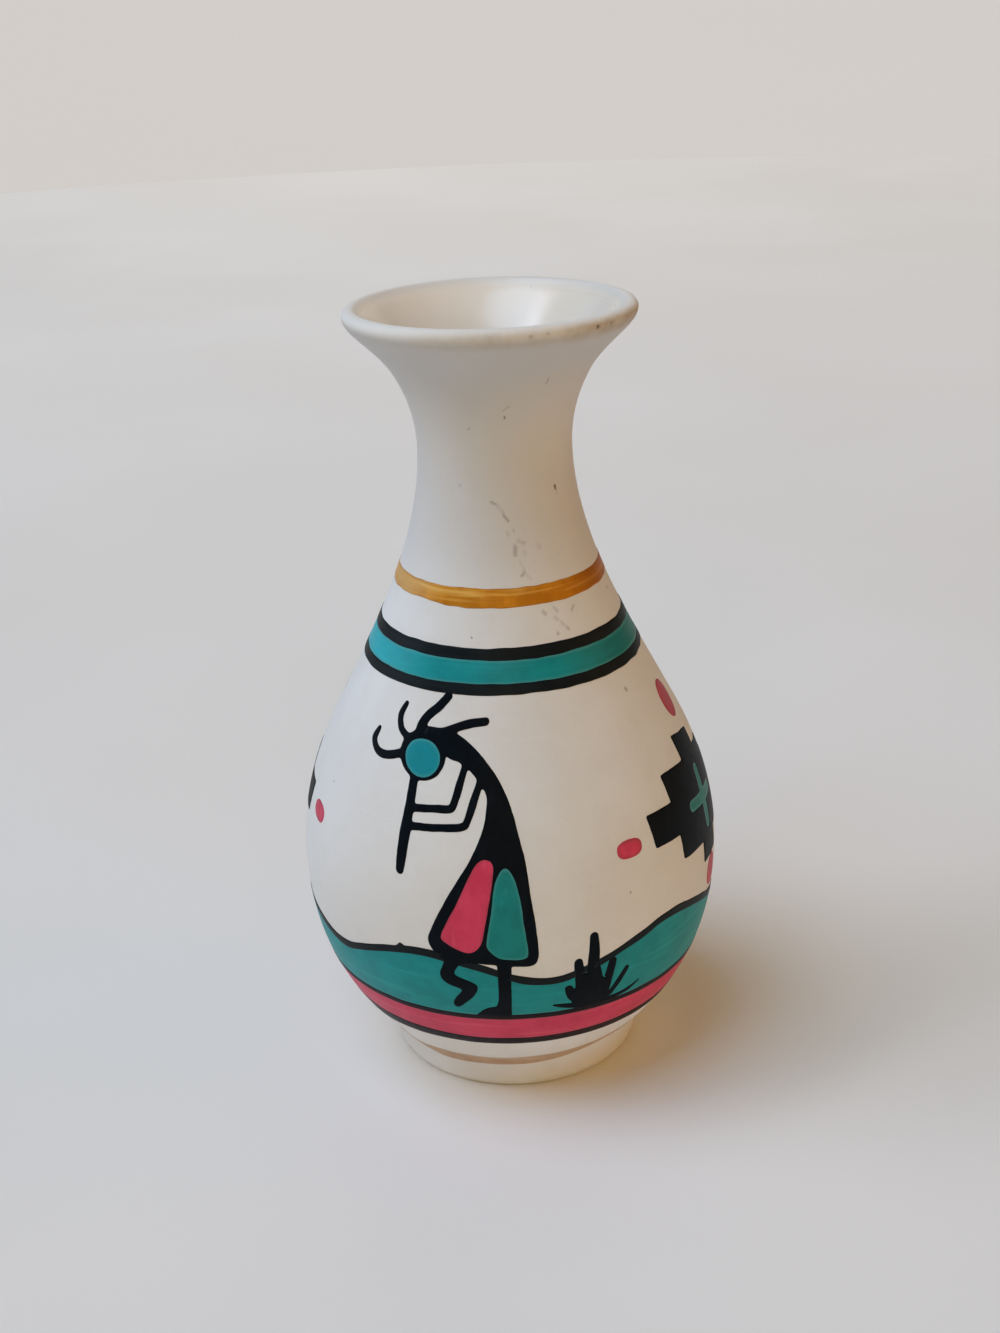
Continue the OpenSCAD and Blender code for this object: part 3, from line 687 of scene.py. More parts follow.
def hill(turn):
    """Height of the hill line: a smooth closed curve through HILL."""
    x = np.concatenate([HILL[-3:, 0] - 360, HILL[:, 0], HILL[:3, 0] + 360])
    y = np.concatenate([HILL[-3:, 1], HILL[:, 1], HILL[:3, 1]])
    t = (np.asarray(turn, float) + 180) % 360 - 180
    i = np.clip(np.searchsorted(x, t, side="right") - 1, 1, len(x) - 3)
    h = x[i + 1] - x[i]
    q = (t - x[i]) / h
    m0 = (y[i + 1] - y[i - 1]) / (x[i + 1] - x[i - 1]) * h
    m1 = (y[i + 2] - y[i]) / (x[i + 2] - x[i]) * h
    return (2 * q**3 - 3 * q**2 + 1) * y[i] + (q**3 - 2 * q**2 + q) * m0 + (3 * q**2 - 2 * q**3) * y[i + 1] + (q**3 - q**2) * m1


def hill_top(t):
    bead = 0.7 * np.exp(-(((t + 31.5) / 0.9) ** 2))
    return hill(t) + 0.10 * sway(t, 41, 5, 50) + bead


def hill_bottom(t):
    return hill(t) - HILL_LINE + 0.12 * sway(t, 42, 4, 36)


# ------------------------------------------------------------------ painted figures
class Sketch:
    """A drawing on a flat sheet, held as the distance to its edge: below nothing inside, above nothing outside.
    x runs across and z up. It is thrown straight on the clay that faces one turn."""

    STEP = 0.1

    def __init__(self, x0, x1, z0, z1):
        self.x0, self.z0 = x0, z0
        self.x, self.z = np.meshgrid(np.arange(x0, x1, self.STEP), np.arange(z0, z1, self.STEP))
        self.d = np.full(self.x.shape, 9.0)

    def join(self, d, blend):
        h = np.maximum(blend - np.abs(self.d - d), 0) / blend
        self.d = np.minimum(self.d, d) - h * h * blend / 4

    def brush(self, points, widths, blend=0.5, bend=6):
        p = curve(points, bend)
        w = np.interp(np.linspace(0, len(widths) - 1, len(p)), np.arange(len(widths)), widths) / 2
        best = np.full(self.d.shape, 9.0)
        for (a, b, ra, rb) in zip(p[:-1], p[1:], w[:-1], w[1:]):
            ab = b - a
            f = np.clip(((self.x - a[0]) * ab[0] + (self.z - a[1]) * ab[1]) / max(ab @ ab, 1e-9), 0, 1)
            best = np.minimum(best, np.hypot(self.x - a[0] - f * ab[0], self.z - a[1] - f * ab[1]) - (ra + (rb - ra) * f))
        self.join(best, blend)
        return self

    def outline(self, points, blend=0.5, grow=0.0):
        self.join(closed_distance(self.x, self.z, np.asarray(points, float)) - grow, blend)
        return self

    def without(self, points, blend=0.3, grow=0.0):
        cut = -(closed_distance(self.x, self.z, np.asarray(points, float)) - grow)
        h = np.maximum(blend - np.abs(self.d - cut), 0) / blend
        self.d = np.maximum(self.d, cut) + h * h * blend / 4
        return self

    def waver(self, size, seed):
        """The brush's own small unsteadiness along every edge."""
        self.d = self.d + size * (rough(self.x / 2.6, self.z / 2.6, seed) + 0.45 * rough(self.x / 0.9, self.z / 0.9, seed + 1))
        return self

    def at(self, x, z):
        u = np.clip((np.asarray(x) - self.x0) / self.STEP, 0, self.d.shape[1] - 1.001)
        v = np.clip((np.asarray(z) - self.z0) / self.STEP, 0, self.d.shape[0] - 1.001)
        i, j = u.astype(int), v.astype(int)
        u, v = u - i, v - j
        d = self.d
        return (d[j, i] * (1 - u) + d[j, i + 1] * u) * (1 - v) + (d[j + 1, i] * (1 - u) + d[j + 1, i + 1] * u) * v

    def loops(self):
        """The edge as closed rings of points, paint on the left."""
        d = self.d
        inside = d < 0
        code = (inside[:-1, :-1] * 1 + inside[:-1, 1:] * 2 + inside[1:, 1:] * 4 + inside[1:, :-1] * 8)
        sides = {1: [(3, 0)], 2: [(0, 1)], 3: [(3, 1)], 4: [(1, 2)], 6: [(0, 2)], 7: [(3, 2)], 8: [(2, 3)], 9: [(2, 0)],
                 11: [(2, 1)], 12: [(1, 3)], 13: [(1, 0)], 14: [(0, 3)], 5: [(3, 0), (1, 2)], 10: [(0, 1), (2, 3)]}
        after = {}
        for j, i in zip(*np.nonzero((code > 0) & (code < 15))):
            names = {0: (0, j, i), 1: (1, j, i + 1), 2: (0, j + 1, i), 3: (1, j, i)}
            for a, b in sides[int(code[j, i])]:
                after[names[b]] = names[a]
        rings = []
        while after:
            first, nxt = after.popitem()
            ring = [first]
            while nxt != first:
                ring.append(nxt)
                nxt = after.pop(nxt)
            pts = []
            for kind, j, i in ring:
                a = d[j, i]
                b = d[j, i + 1] if kind == 0 else d[j + 1, i]
                f = a / (a - b)
                pts.append((self.x0 + (i + (f if kind == 0 else 0)) * self.STEP, self.z0 + (j + (0 if kind == 0 else f)) * self.STEP))
            pts = np.array(pts)
            for _ in range(3):
                pts = 0.25 * np.roll(pts, 1, 0) + 0.5 * pts + 0.25 * np.roll(pts, -1, 0)
            size = travel(np.vstack([pts, pts[:1]]))
            if size[-1] < 1.2:
                continue
            count = max(10, int(size[-1] / 0.24))
            at = np.linspace(0, size[-1], count, endpoint=False)
            shut = np.vstack([pts, pts[:1]])
            rings.append(np.stack([np.interp(at, size, shut[:, 0]), np.interp(at, size, shut[:, 1])], -1))
        return rings


def curve(points, m):
    """Points on a smooth open curve through the given ones."""
    p = np.asarray(points, float)
    out = []
    for i in range(len(p) - 1):
        a, b, c, d = p[max(i - 1, 0)], p[i], p[i + 1], p[min(i + 2, len(p) - 1)]
        for k in range(m):
            t = k / m
            out.append(0.5 * (2 * b + (c - a) * t + (2 * a - 5 * b + 4 * c - d) * t * t + (3 * b - a - 3 * c + d) * t**3))
    return np.array(out + [p[-1]])


def ring_curve(points, m):
    p = np.asarray(points, float)
    n = len(p)
    out = []
    for i in range(n):
        a, b, c, d = p[i - 1], p[i], p[(i + 1) % n], p[(i + 2) % n]
        for k in range(m):
            t = k / m
            out.append(0.5 * (2 * b + (c - a) * t + (2 * a - 5 * b + 4 * c - d) * t * t + (3 * b - a - 3 * c + d) * t**3))
    return np.array(out)


def oval(centre, a, b, n=48, tilt=0.0, square=2.0):
    """An oval, or a softer rectangle where square is above 2."""
    q = np.arange(n) * 2 * math.pi / n
    c, s = np.cos(q), np.sin(q)
    x = a * np.sign(c) * np.abs(c) ** (2 / square)
    y = b * np.sign(s) * np.abs(s) ** (2 / square)
    t = math.radians(tilt)
    return np.stack([centre[0] + x * math.cos(t) - y * math.sin(t), centre[1] + x * math.sin(t) + y * math.cos(t)], -1)


def closed_distance(x, z, p):
    best = np.full(x.shape, 1e9)
    odd = np.zeros(x.shape, bool)
    for a, b in zip(p, np.roll(p, -1, 0)):
        ab = b - a
        f = np.clip(((x - a[0]) * ab[0] + (z - a[1]) * ab[1]) / max(ab @ ab, 1e-12), 0, 1)
        best = np.minimum(best, (x - a[0] - f * ab[0]) ** 2 + (z - a[1] - f * ab[1]) ** 2)
        if a[1] != b[1]:
            crosses = ((a[1] > z) != (b[1] > z)) & (x < a[0] + (z - a[1]) * ab[0] / ab[1])
            odd ^= crosses
    return np.where(odd, -1, 1) * np.sqrt(best)


def film(sketch, turn, lift, grid=0.85):
    """A thin closed film of a sketch on the clay: points, faces, flat places for the map, and distance to the edge."""
    rings = sketch.loops()
    flat, loops = [], []
    for ring in rings:
        area = 0.5 * np.sum(ring[:, 0] * np.roll(ring[:, 1], -1) - np.roll(ring[:, 0], -1) * ring[:, 1])
        start = len(flat)
        flat.extend(ring.tolist())
        order = list(range(start, len(flat)))
        loops.append(order if area > 0 else order[::-1])
    rim_count = len(flat)
    for ring, order in zip(rings, loops):
        for offset, least in ((0.15, 0.1), (0.42, 0.36)):
            ahead = np.roll(ring, -1, 0) - np.roll(ring, 1, 0)
            ahead /= np.linalg.norm(ahead, axis=1)[:, None]
            inward = np.stack([-ahead[:, 1], ahead[:, 0]], -1)
            probe = sketch.at(ring[:, 0] + 0.1 * inward[:, 0], ring[:, 1] + 0.1 * inward[:, 1])
            inward = np.where((probe > 0)[:, None], -inward, inward)
            pts = ring + offset * inward
            if offset > 0.3:
                pts = pts[::2]
            flat.extend(pts[sketch.at(pts[:, 0], pts[:, 1]) < -least].tolist())
    gx = np.arange(sketch.x0, sketch.x.max(), grid)
    gz = np.arange(sketch.z0, sketch.z.max(), grid * 0.866)
    for k, zz in enumerate(gz):
        xs = gx + (grid / 2 if k % 2 else 0)
        keep = sketch.at(xs, np.full(len(xs), zz)) < -0.75
        flat.extend(np.stack([xs[keep], np.full(keep.sum(), zz)], -1).tolist())
    got = delaunay_2d_cdt([Vector(p) for p in flat], [], loops, 0, 1e-6, True)
    points = np.array([tuple(v) for v in got[0]])
    tris = [f for f, made_of in zip(got[2], got[5]) if len(made_of) % 2 == 1]
    used = sorted({i for f in tris for i in f})
    place = {old: new for new, old in enumerate(used)}
    points = points[used]
    tris = [tuple(place[i] for i in f) for f in tris]
    ways = {}
    for a, b, c in tris:
        for e in ((a, b), (b, c), (c, a)):
            ways[e] = True
    border = [e for e in ways if (e[1], e[0]) not in ways]
    rim = {i for e in border for i in e}
    dense = np.vstack([ring + (np.roll(ring, -1, 0) - ring) * q for ring in rings for q in (0, 0.25, 0.5, 0.75)])
    tree = KDTree(len(dense))
    for i, p in enumerate(dense):
        tree.insert((p[0], p[1], 0.0), i)
    tree.balance()
    deep = np.array([tree.find((p[0], p[1], 0.0))[2] for p in points])
    deep[list(rim)] = 0
    h = lift * (0.4 + 0.6 * ease(0, 0.15, deep)) * (1 + 0.12 * rough(points[:, 0] / 2.2, points[:, 1] / 2.2, 33) * ease(0.1, 0.5, deep))
    r = side(points[:, 1])[0]
    where = turn + np.degrees(np.arcsin(np.clip(points[:, 0] / r, -1, 1)))
    top = skin(where, points[:, 1], h)
    low = skin(where, points[:, 1], np.full(len(points), -0.02))
    n = len(points)
    faces = [tuple(f) for f in tris] + [(c + n, b + n, a + n) for a, b, c in tris]
    out = np.zeros_like(points)
    for a, b in border:
        e = points[b] - points[a]
        side_way = np.array([e[1], -e[0]]) / max(np.linalg.norm(e), 1e-9)
        out[a] += side_way
        out[b] += side_way
    size = np.linalg.norm(out, axis=1)
    out = out / np.maximum(size, 1e-9)[:, None]
    outer = points + 0.12 * out
    # flat places for the map: face, hidden back (small), skirt
    lo, hi = points.min(0), points.max(0)
    back = (points - lo) * 0.1
    spots = [points[list(f)] - lo for f in tris]
    backs = [back[[c, b, a]] for a, b, c in tris]
    skirts = []
    for a, b in border:
        faces.append((b, a, a + n, b + n))
        skirts.append(np.array([points[b], points[a], outer[a], outer[b]]) - lo)
    return SimpleFilm(np.vstack([top, low]), faces, spots, backs, skirts, hi - lo, np.concatenate([deep, deep]))


class SimpleFilm:
    def __init__(self, verts, faces, spots, backs, skirts, size, edge):
        self.verts, self.faces, self.spots, self.backs, self.skirts = verts, faces, spots, backs, skirts
        self.size, self.edge = size, edge


def films(name, parts, deep=None, coat=None):
    """One piece of several films, with their flat shapes laid side by side on the map. deep tells how much paint each has
    and coat how much water was in it."""
    boxes = []
    for k, f in enumerate(parts):
        boxes.append((f.size[0] + 0.8, f.size[1] + 0.8, k, 0))
        boxes.append((f.size[0] * 0.1 + 0.4, f.size[1] * 0.1 + 0.4, k, 1))
    boxes.sort(key=lambda b: -b[1])
    total = math.sqrt(sum(b[0] * b[1] for b in boxes))
    edge = max(total, max(b[0] for b in boxes), max(b[1] for b in boxes))
    while True:
        x = y = row = 0.0
        spot = {}
        for w, h, k, kind in boxes:
            if x + w > edge:
                x, y, row = 0.0, y + row, 0.0
            spot[(k, kind)] = (x + 0.4, y + 0.4) if kind == 0 else (x + 0.2, y + 0.2)
            x += w
            row = max(row, h)
        if y + row <= edge:
            break
        edge *= 1.04
    verts, faces, uvs, dist, rich_paint_and_shade, wet = [], [], [], [], [], []
    for k, f in enumerate(parts):
        base = sum(len(v) for v in verts)
        verts.append(f.verts)
        dist.append(f.edge)
        rich_paint_and_shade.append(np.full(len(f.edge), deep[k] if deep else 0.0))
        wet.append(np.full(len(f.edge), coat[k] if coat else 0.0))
        faces += [tuple(i + base for i in face) for face in f.faces]
        o, p = np.array(spot[(k, 0)]), np.array(spot[(k, 1)])
        for s in f.spots:
            uvs.append((s + o) / edge)
        for s in f.backs:
            uvs.append((s + p) / edge)
        for s in f.skirts:
            uvs.append((s + o) / edge)
    return make(name, np.vstack(verts), faces, np.vstack(uvs), {"edge": np.concatenate(dist), "deep": np.concatenate(rich_paint_and_shade), "coat": np.concatenate(wet)})


def piece(ob, node, material):
    ob.data.materials.clear()
    ob.data.materials.append(material)
    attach(ob, "root")
    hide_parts(node)
    return ob


BASE_TOP = 25.3
PLAYER_BODY = [
    (-7.5, 79.3), (-4.6, 79.9), (-1, 79.1), (2.4, 77), (5.2, 74.3), (7.8, 70.9), (9.7, 67.3), (11.2, 62.7), (12.6, 58.1),
    (13.6, 52), (14.3, 47), (14.8, 42), (14.6, 38.6), (13.4, 37.2), (10, 37.3), (7.4, 37.6), (4, 37.9), (0.5, 37.4),
    (-2.2, 37.6), (-4.5, 39.6), (-5.5, 41.6), (-5.2, 43.7), (-2.6, 49.2), (0.2, 54.1), (3, 59.1), (4.7, 63.6), (5.2, 67.1),
    (5.1, 69.3), (4.2, 70.9), (3, 72.2), (1.5, 73.5), (-0.2, 74.5), (-3.2, 75.6)]
PANEL_PINK = [(5.5, 58.5), (6.9, 57.3), (6.5, 52.3), (5.4, 46), (4.4, 42), (2.4, 40.2), (-0.2, 40.9), (-2.7, 42.4),
              (-2.7, 44), (0, 49.6), (2.4, 54.8), (4, 57.7)]
PANEL_TEAL = [(9, 57), (10.6, 55.2), (11.7, 51.4), (12.4, 46), (12.9, 40.2), (11.9, 38.9), (9.4, 38.9), (7.4, 39.5),
              (5.8, 41.3), (5.8, 43.4), (6.7, 48.5), (7.4, 54.4)]
BENT_LEG = [(1, 38.6), (-0.4, 36.4), (-0.8, 35.2), (0.4, 34.4), (2.1, 33.7), (3.2, 32.8), (3.1, 31.4), (1.9, 29.5), (0.6, 28.2),
            (-0.6, 27), (-1.5, 26.9), (-1.9, 27.9), (-1.1, 29.5), (-0.1, 30.8), (0.1, 31.5), (-1, 32), (-2.5, 32.6), (-3.6, 33.6),
            (-3.8, 35), (-3.2, 36.6), (-2, 38.8)]
HEAD = (-7.6, 74.6)


def player_black(seed):
    k = Sketch(-22, 18, 23, 87.5)
    k.outline(ring_curve(PLAYER_BODY, 4))
    k.outline(oval((HEAD[0] - 0.1, HEAD[1] + 0.4), 4.6, 4.1))
    # hair
    k.brush([(-17.4, 77.5), (-18.4, 75.4), (-17.3, 73.8), (-15, 73.7), (-11.4, 74.9)], [0.7, 1.15, 1.35, 1.35, 1.3])
    k.brush([(-11.8, 82.8), (-12.9, 80.6), (-12.6, 78.6), (-11.2, 77.5), (-9.4, 76.6)], [0.7, 1.2, 1.35, 1.4, 1.6])
    k.brush([(-3.4, 85.2), (-5.2, 83.2), (-7.3, 81.4), (-8.5, 79.4), (-8.6, 77.6)], [1.4, 1.6, 1.5, 1.7, 2])
    k.brush([(3.9, 81.4), (1.2, 81), (-1.4, 80.2), (-4.4, 78.8)], [1.5, 1.5, 1.4, 1.8])
    # arms and flute
    k.brush([(0.9, 74.6), (0.1, 71.4), (-0.8, 67.9), (-1.6, 66.9), (-4.4, 66.7), (-9.2, 66.2)], [1.3, 1.4, 1.4, 1.4, 1.4, 1.4])
    k.brush([(3.9, 72), (2.9, 68.6), (1.9, 65.1), (1, 64.1), (-2.6, 63.6), (-9.8, 63.1)], [1.3, 1.4, 1.4, 1.4, 1.4, 1.4])
    k.brush([(-8.9, 71.8), (-9.4, 67), (-10.1, 62), (-10.8, 57), (-11, 54.9)], [1.7, 1.8, 2.1, 1.9, 1.7])
    # bent leg, then the standing leg with its foot
    k.outline(ring_curve(BENT_LEG, 4), 0.3)
    k.outline([(7.3, 38.6), (10, 38.6), (9.7, 34), (9.3, 29), (8.9, BASE_TOP - 0.4), (2, BASE_TOP - 0.4), (2.6, 25.6), (3.5, 26.5),
               (4.6, 27.2), (6.3, 27.7), (6.8, 29), (7.1, 32), (7.2, 35)], 0.4)
    k.without(oval(HEAD, 3.45, 3.05), 0.2)
    k.without(ring_curve(PANEL_PINK, 4), 0.2)
    k.without(ring_curve(PANEL_TEAL, 4), 0.2)
    return k.waver(0.06, seed)


def plant(seed):
    k = Sketch(-13, 10, 23, 44)
    k.brush([(-3.4, 41.6), (-3.3, 38.7), (-3.4, 35.6), (-3.3, 29)], [1.7, 2.1, 2.5, 3.6], 0.3)
    k.brush([(-6.4, 36.6), (-6.1, 34.5), (-5, 30.2)], [1.6, 2, 2.8], 0.3)
    k.brush([(-8, 30.8), (-7, 28.8), (-4.8, 26.4)], [1.6, 2, 2.3], 0.3)
    k.brush([(-10.4, 27), (-8.4, 26.5), (-5.3, 25.8)], [0.6, 1.2, 1.6], 0.3)
    k.brush([(0.7, 35), (-0.2, 30.5), (-0.9, 27.3)], [1.7, 2.2, 3], 0.3)
    k.brush([(4, 32.2), (2.5, 29.6), (1, 27.2), (0.4, 26.4)], [1.2, 1.5, 1.3, 1.2], 0.3)
    k.brush([(7.5, 27.7), (4.9, 26.3), (1.2, 25.6)], [0.5, 1, 1.3], 0.3)
    k.outline([(-6.9, 33), (-6.6, 29), (-5.3, 26.6), (-4.9, BASE_TOP - 0.4), (1, BASE_TOP - 0.4), (-0.1, 27.8), (-1.2, 32), (-1.9, 34.6),
               (-4.3, 34.8), (-5.5, 33)], 0.3)
    return k.waver(0.06, seed)


DIAMOND_Z = 57.8
STEPS = [[(-19.5, -3.3), (20.5, -3.3), (20.5, 3.2), (-19.5, 3.3)], [(-12.7, -8.5), (11.2, -9.6), (11.2, 7.4), (-12.7, 8.6)],
         [(-4.2, -13.4), (4.7, -13.4), (4.7, 11.4), (-4.2, 12.9)]]
SOFT = 0.4


def cross_in(k, grow):
    k.brush([(0.7, 62.2), (0.4, 56.8), (0.2, 51.4)], [2.1 + grow, 2.5 + grow, 2.1 + grow], 0.4)
    k.brush([(-6.1, 57.4), (0.4, 56.8), (6.3, 56.4)], [2.1 + grow, 2.4 + grow, 2.1 + grow], 0.4)
    return k


def diamond(seed):
    k = Sketch(-22, 22, 42, 73)
    for step in STEPS:  # corners are rounded by the brush
        k.outline([(x - math.copysign(SOFT, x), DIAMOND_Z + z - math.copysign(SOFT, z)) for x, z in step], 0.3, SOFT)
    hole = cross_in(Sketch(-22, 22, 42, 73), 0.0)
    k.d = np.maximum(k.d, -hole.d)
    return k.waver(0.09, seed)


def colour_patch(points, seed, grow=0.0, margin=2.0):
    p = np.asarray(points, float)
    k = Sketch(p[:, 0].min() - margin, p[:, 0].max() + margin, p[:, 1].min() - margin, p[:, 1].max() + margin)
    return k.outline(p, 0.4, grow).waver(0.05, seed)


# ------------------------------------------------------------------ build the vase
PLAYER, PLANT, DIAMOND = -15, 26, 72
HALVES = (0, 180)
DIAMONDS = {0: DIAMOND, 180: DIAMOND + 177.5}

piece(build_shell(), "vase_body", CLAY)
piece(build_lining(), "inner_glaze", GLAZED)


def gold_low(t):
    step = -0.28 * ease(-40, -30, t) * (1 - ease(30, 120, t))
    return 100.35 + 0.12 * sway(t, 51, 2, 9) + 0.07 * sway(t, 52, 10, 40) + step


def gold_high(t):
    return 103.4 + 0.10 * sway(t, 53, 2, 9) + 0.06 * sway(t, 54, 10, 40)


def left_painted_sheen(t, f):
    """Painted light and sheen: how much the band's paint is made paler on the left of the front."""
    return ease(-28, -62, t) * ease(-150, -95, t) * (0.8 + 0.2 * rough(t / 9, f * 2, 55))


piece(strip("neck_band_paint", gold_low, gold_high, 0.07, inner=7, extra=left_painted_sheen), "neck_band", GOLD)
piece(strip("shoulder_teal", level(87.2, 61), level(91.6, 62), 0.06, inner=7, extra=left_painted_sheen), "shoulder_fill",
      TEAL_ROUND)
piece(strip("shoulder_black", [level(85.6, 63), level(91.3, 64)], [level(87.5, 65), level(93.4, 66)], 0.1),
      "shoulder_lines", BLACK_ROUND)


def base_low(t):
    return 15.85 - 1.0 * ease(-24, -58, t) * ease(-140, -90, t) + 0.09 * sway(t, 73, 2, 40)


def base_mid(t):
    return 18.0 + 0.35 * ease(-8, -40, t) * ease(-140, -90, t) + 0.09 * sway(t, 75, 2, 40)


piece(strip("base_pink", level(17.7, 71), level(24.1, 72), 0.06, inner=8), "base_fill", PINK_ROUND)
piece(strip("base_black", [base_low, level(23.9, 74)], [base_mid, level(BASE_TOP, 76)], 0.1),
      "base_lines", BLACK_ON_PINK)
piece(strip("hill_teal", lambda t: np.full(len(t), BASE_TOP - 0.4), lambda t: hill(t) - 0.85, 0.05, inner=16, parts=4),
      "hill_fill", TEAL_ROUND)
piece(strip("hill_black", hill_bottom, hill_top, 0.095), "hill_line", BLACK_ROUND)


def foot_mid(t):
    return (7.95 + 1.1 * np.sin(np.radians(t - 5)) + 1.25 * ease(12, 50, t) * (1 - ease(90, 160, t))
            + 0.07 * sway(t, 81, 3, 20))


def foot_half(t):
    """The stroke sets off thin on the left and runs out thin on the right."""
    left = 1.2 * ease(-30, -53, t) * ease(-150, -105, t)
    right = (0.75 * ease(8, 62, t) + 0.4 * ease(60, 85, t)) * (1 - ease(130, 170, t))
    return np.maximum(1.3 - left - right + 0.06 * sway(t, 82, 4, 30), 0.12)


piece(strip("foot_tan", lambda t: foot_mid(t) - foot_half(t), lambda t: foot_mid(t) + foot_half(t), 0.05),
      "foot_line", TAN)

piece(films("player_black_paint", [film(player_black(101 + h), PLAYER + h, 0.1) for h in HALVES]),
      "player_black", BLACK_UP)
piece(films("player_teal_paint",
            [film(colour_patch(oval(HEAD, 3.45, 3.05), 111 + h, 0.3), PLAYER + h, 0.06) for h in HALVES]
            + [film(colour_patch(ring_curve(PANEL_TEAL, 4), 121 + h, 0.3), PLAYER + h, 0.06) for h in HALVES], None, (1, 1, 0, 0)),
      "player_teal", TEAL_UP)
piece(films("player_pink_paint", [film(colour_patch(ring_curve(PANEL_PINK, 4), 131 + h, 0.3), PLAYER + h, 0.06) for h in HALVES]),
      "player_pink", PINK_UP)
piece(films("diamond_black_paint", [film(diamond(141 + h), DIAMONDS[h], 0.1) for h in HALVES]),
      "diamond_black", BLACK_UP)
piece(films("diamond_cross_paint", [film(cross_in(Sketch(-9, 9, 48, 67), 0.5).waver(0.05, 151 + h), DIAMONDS[h], 0.06) for h in HALVES], (0.7, 0.7)),
      "diamond_cross", TEAL_UP)
dots = []
for h in HALVES:
    dots.append(film(colour_patch(oval((0, 56.6), 2.85, 1.75, 48, 0, 2.5), 160 + h), DIAMONDS[h] - 38.2, 0.085))
    dots.append(film(colour_patch(oval((0, 57.7), 2.7, 1.8, 48, -12, 2.4), 162 + h), DIAMONDS[h] + 41.5, 0.085))
    dots.append(film(colour_patch(oval((0, 75.7), 2.9, 3.7, 48, 4), 171 + h), DIAMONDS[h] + 4.7, 0.085))
    dots.append(film(colour_patch(oval((0, 40.8), 3, 3.4), 181 + h), DIAMONDS[h] + 1.3, 0.085))
piece(films("pink_dots_paint", dots, (0.0, 0.3, 0.75, 0.5) * 2), "pink_dots", PINK_UP)
piece(films("desert_plant_paint", [film(plant(191 + h), PLANT + h, 0.1) for h in HALVES]),
      "desert_plant", BLACK_UP)


# ------------------------------------------------------------------ floor, light, camera
def build_floor():
    """A wide round sheet with a fine even grain, flat under the vase."""
    rings = [0.0] + [0.03 * 1.28**k for k in range(22)]
    n = 96
    verts, faces = [(0, 0, 0)], []
    for r in rings[1:]:
        verts += [(1000 * r * math.cos(2 * math.pi * j / n), 1000 * r * math.sin(2 * math.pi * j / n), 0) for j in range(n)]
    for j in range(n):
        faces.append((0, 1 + j, 1 + (j + 1) % n))
    for i in range(len(rings) - 2):
        a, b = 1 + i * n, 1 + (i + 1) * n
        for j in range(n):
            faces.append((a + j, b + j, b + (j + 1) % n, a + (j + 1) % n))
    ob = make("floor", verts, faces)
    k = Look("pale_floor")
    cloud = k.noise(k.place(180, 180, 180), 2, 0.5)
    k.set(Base_Color=k.mix(k.span(cloud, 0.3, 0.7), linear(0.925, 0.882, 0.822), linear(0.952, 0.914, 0.86)),
          Roughness=k.span(cloud, 0.3, 0.7, 0.5, 0.58, False))
    k.bsdf.inputs["Specular IOR Level"].default_value = 0.3
    ob.data.materials.append(k.mat)


def build_backdrop():
    """A pale round wall far behind, which curves up out of the floor. It is only seen, and throws no light or shade."""
    a = np.radians(np.linspace(0, 90, 13))
    line = [(1.3 + 1.35 * math.sin(q), 1.35 * (1 - math.cos(q)) + 0.002) for q in a] + [(2.65, h) for h in (1.9, 2.6, 3.5, 4.6, 6.0)]
    n = 96
    verts = [(1000 * r * math.sin(2 * math.pi * j / n), 1000 * r * math.cos(2 * math.pi * j / n), 1000 * h) for r, h in line for j in range(n)]
    faces = [(i * n + j, i * n + (j + 1) % n, (i + 1) * n + (j + 1) % n, (i + 1) * n + j) for i in range(len(line) - 1) for j in range(n)]
    ob = make("backdrop", verts, faces)
    k = Look("pale_backdrop")
    cloud = k.noise(k.place(900, 900, 900), 2, 0.5)
    rise = k.span(k.height(), 0, 2600)
    tone = k.mix(rise, linear(0.626, 0.594, 0.566), linear(0.60, 0.575, 0.555))
    k.set(Base_Color=linear(0.02, 0.02, 0.02), Roughness=0.9, Emission_Strength=1.0,
          Emission_Color=k.mix(k.span(cloud, 0.3, 0.7, 0, 0.12), tone, linear(0.68, 0.65, 0.625)))
    k.bsdf.inputs["Specular IOR Level"].default_value = 0.0
    ob.data.materials.append(k.mat)
    ob.visible_diffuse = ob.visible_glossy = ob.visible_transmission = ob.visible_volume_scatter = ob.visible_shadow = False


def lamp(name, place, size, colour, power, aim=(0, 0, 0.07), twist=0.0, spread=180.0):
    data = bpy.data.lights.new(name, "AREA")
    data.shape = "RECTANGLE"
    data.size, data.size_y = size
    data.color = colour
    data.energy = power
    data.spread = math.radians(spread)
    ob = bpy.data.objects.new(name, data)
    scene.collection.objects.link(ob)
    ob.location = place
    look = (Vector(aim) - Vector(place)).to_track_quat("-Z", "Y")
    ob.rotation_euler = (look @ Quaternion((0, 0, 1), math.radians(twist))).to_euler()
    return ob


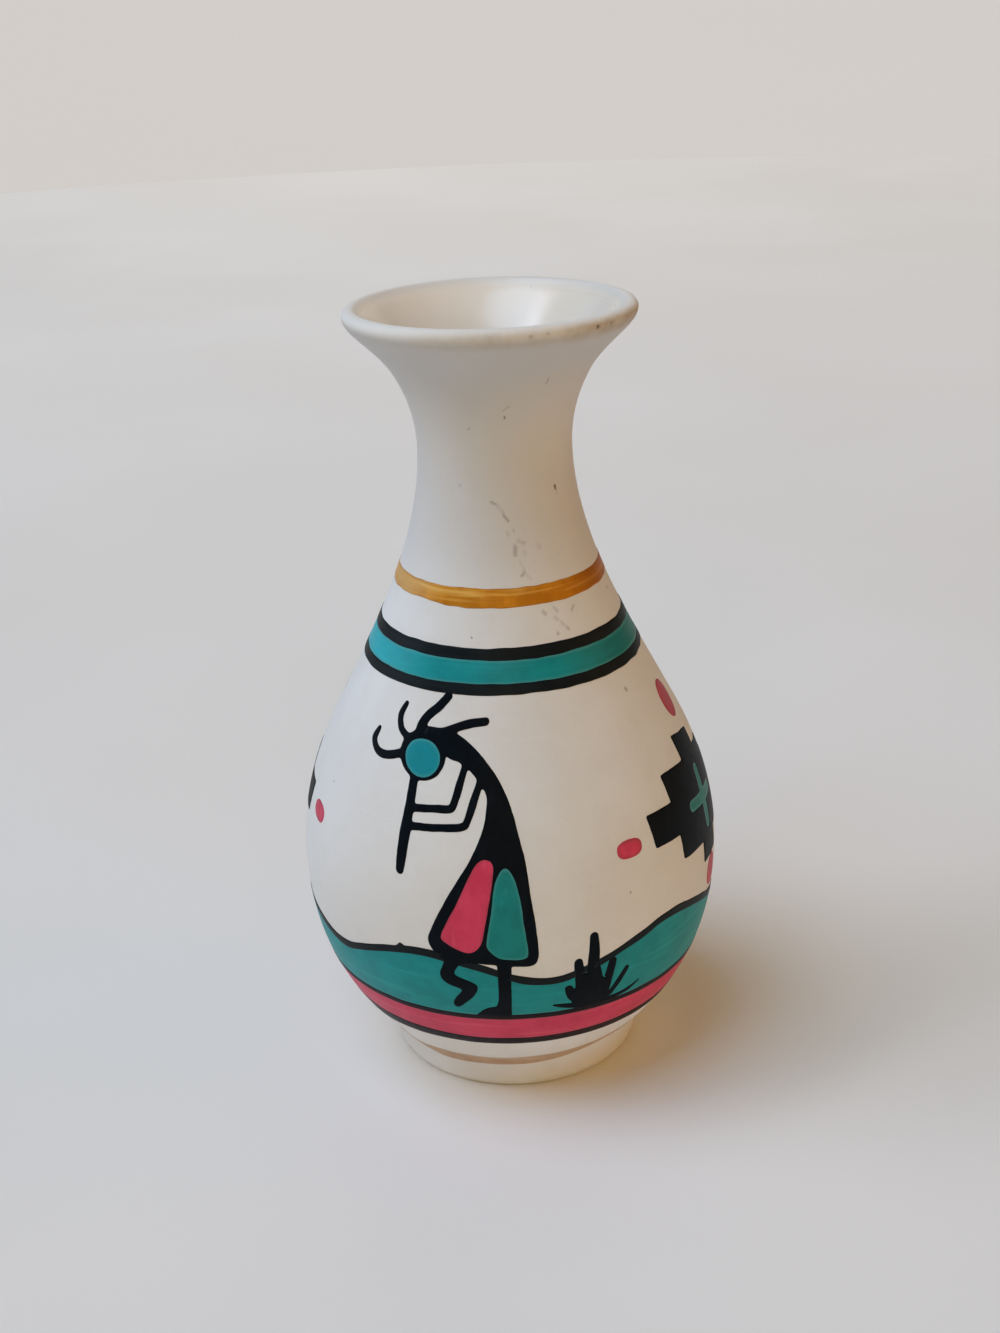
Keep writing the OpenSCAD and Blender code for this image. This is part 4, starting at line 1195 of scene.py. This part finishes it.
build_floor()
build_backdrop()
lamp("high_left", (-0.9, -0.6, 2.6), (1.9, 1.9), (0.55, 0.74, 1.0), 43.5)
lamp("window", (-1.65, -0.1, 2.5), (2.0, 0.4), (0.86, 0.85, 1.0), 12.8, twist=-38)
lamp("left", (-2.6, 0.3, 0.8), (1.6, 1.4), (0.72, 0.825, 1.0), 14)
lamp("top", (0.2, 0.3, 2.8), (2.0, 2.0), (1.0, 0.79, 0.40), 4.8)
lamp("warm_right", (2.3, -0.3, 1.0), (2.4, 2.0), (1.0, 0.38, 0.06), 8.8)
lamp("low_right", (2.2, -1.0, 0.25), (1.8, 0.5), (1.0, 0.64, 0.16), 3.5)
lamp("front", (0.0, -2.6, 1.0), (1.8, 1.4), (1.0, 0.67, 0.22), 12.6)
lamp("back", (0.3, 2.8, 1.1), (2.2, 1.6), (1.0, 0.89, 0.72), 7.2)
lamp("low_front", (0.86, -0.51, 0.10), (0.06, 0.03), (0.86, 0.93, 1.0), 0.0014, (0.01, -0.01, -0.012), spread=8)
lamp("far_floor", (0.0, 1.5, 2.2), (4.0, 1.2), (0.94, 0.95, 1.0), 35, (0.0, 4.2, 0.0))

world = bpy.data.worlds.new("studio")
scene.world = world
world.use_nodes = True
sky = world.node_tree.nodes["Background"]
sky.inputs["Color"].default_value = (1.0, 0.88, 0.4, 1)
sky.inputs["Strength"].default_value = 0.046

data = bpy.data.cameras.new("camera")
camera = bpy.data.objects.new("camera", data)
scene.collection.objects.link(camera)
yaw, pitch, roll = math.radians(-0.111), math.radians(22.161), math.radians(-2.290)
ahead = Vector((math.sin(yaw) * math.cos(pitch), math.cos(yaw) * math.cos(pitch), -math.sin(pitch)))
right = ahead.cross(Vector((0, 0, 1))).normalized()
up = right.cross(ahead)
right, up = right * math.cos(roll) + up * math.sin(roll), up * math.cos(roll) - right * math.sin(roll)
frame_axes = Matrix((right, up, -ahead)).transposed().to_4x4()
camera.matrix_world = Matrix.Translation((0, -0.350, 0.22303)) @ frame_axes
data.sensor_fit = "VERTICAL"
data.sensor_height = 24.0
data.sensor_width = 18.0
data.lens = 24.0 * 1938.3 / 1333
data.clip_start, data.clip_end = 0.01, 60
scene.camera = camera

scene.view_settings.view_transform = "Standard"
scene.view_settings.look = "None"
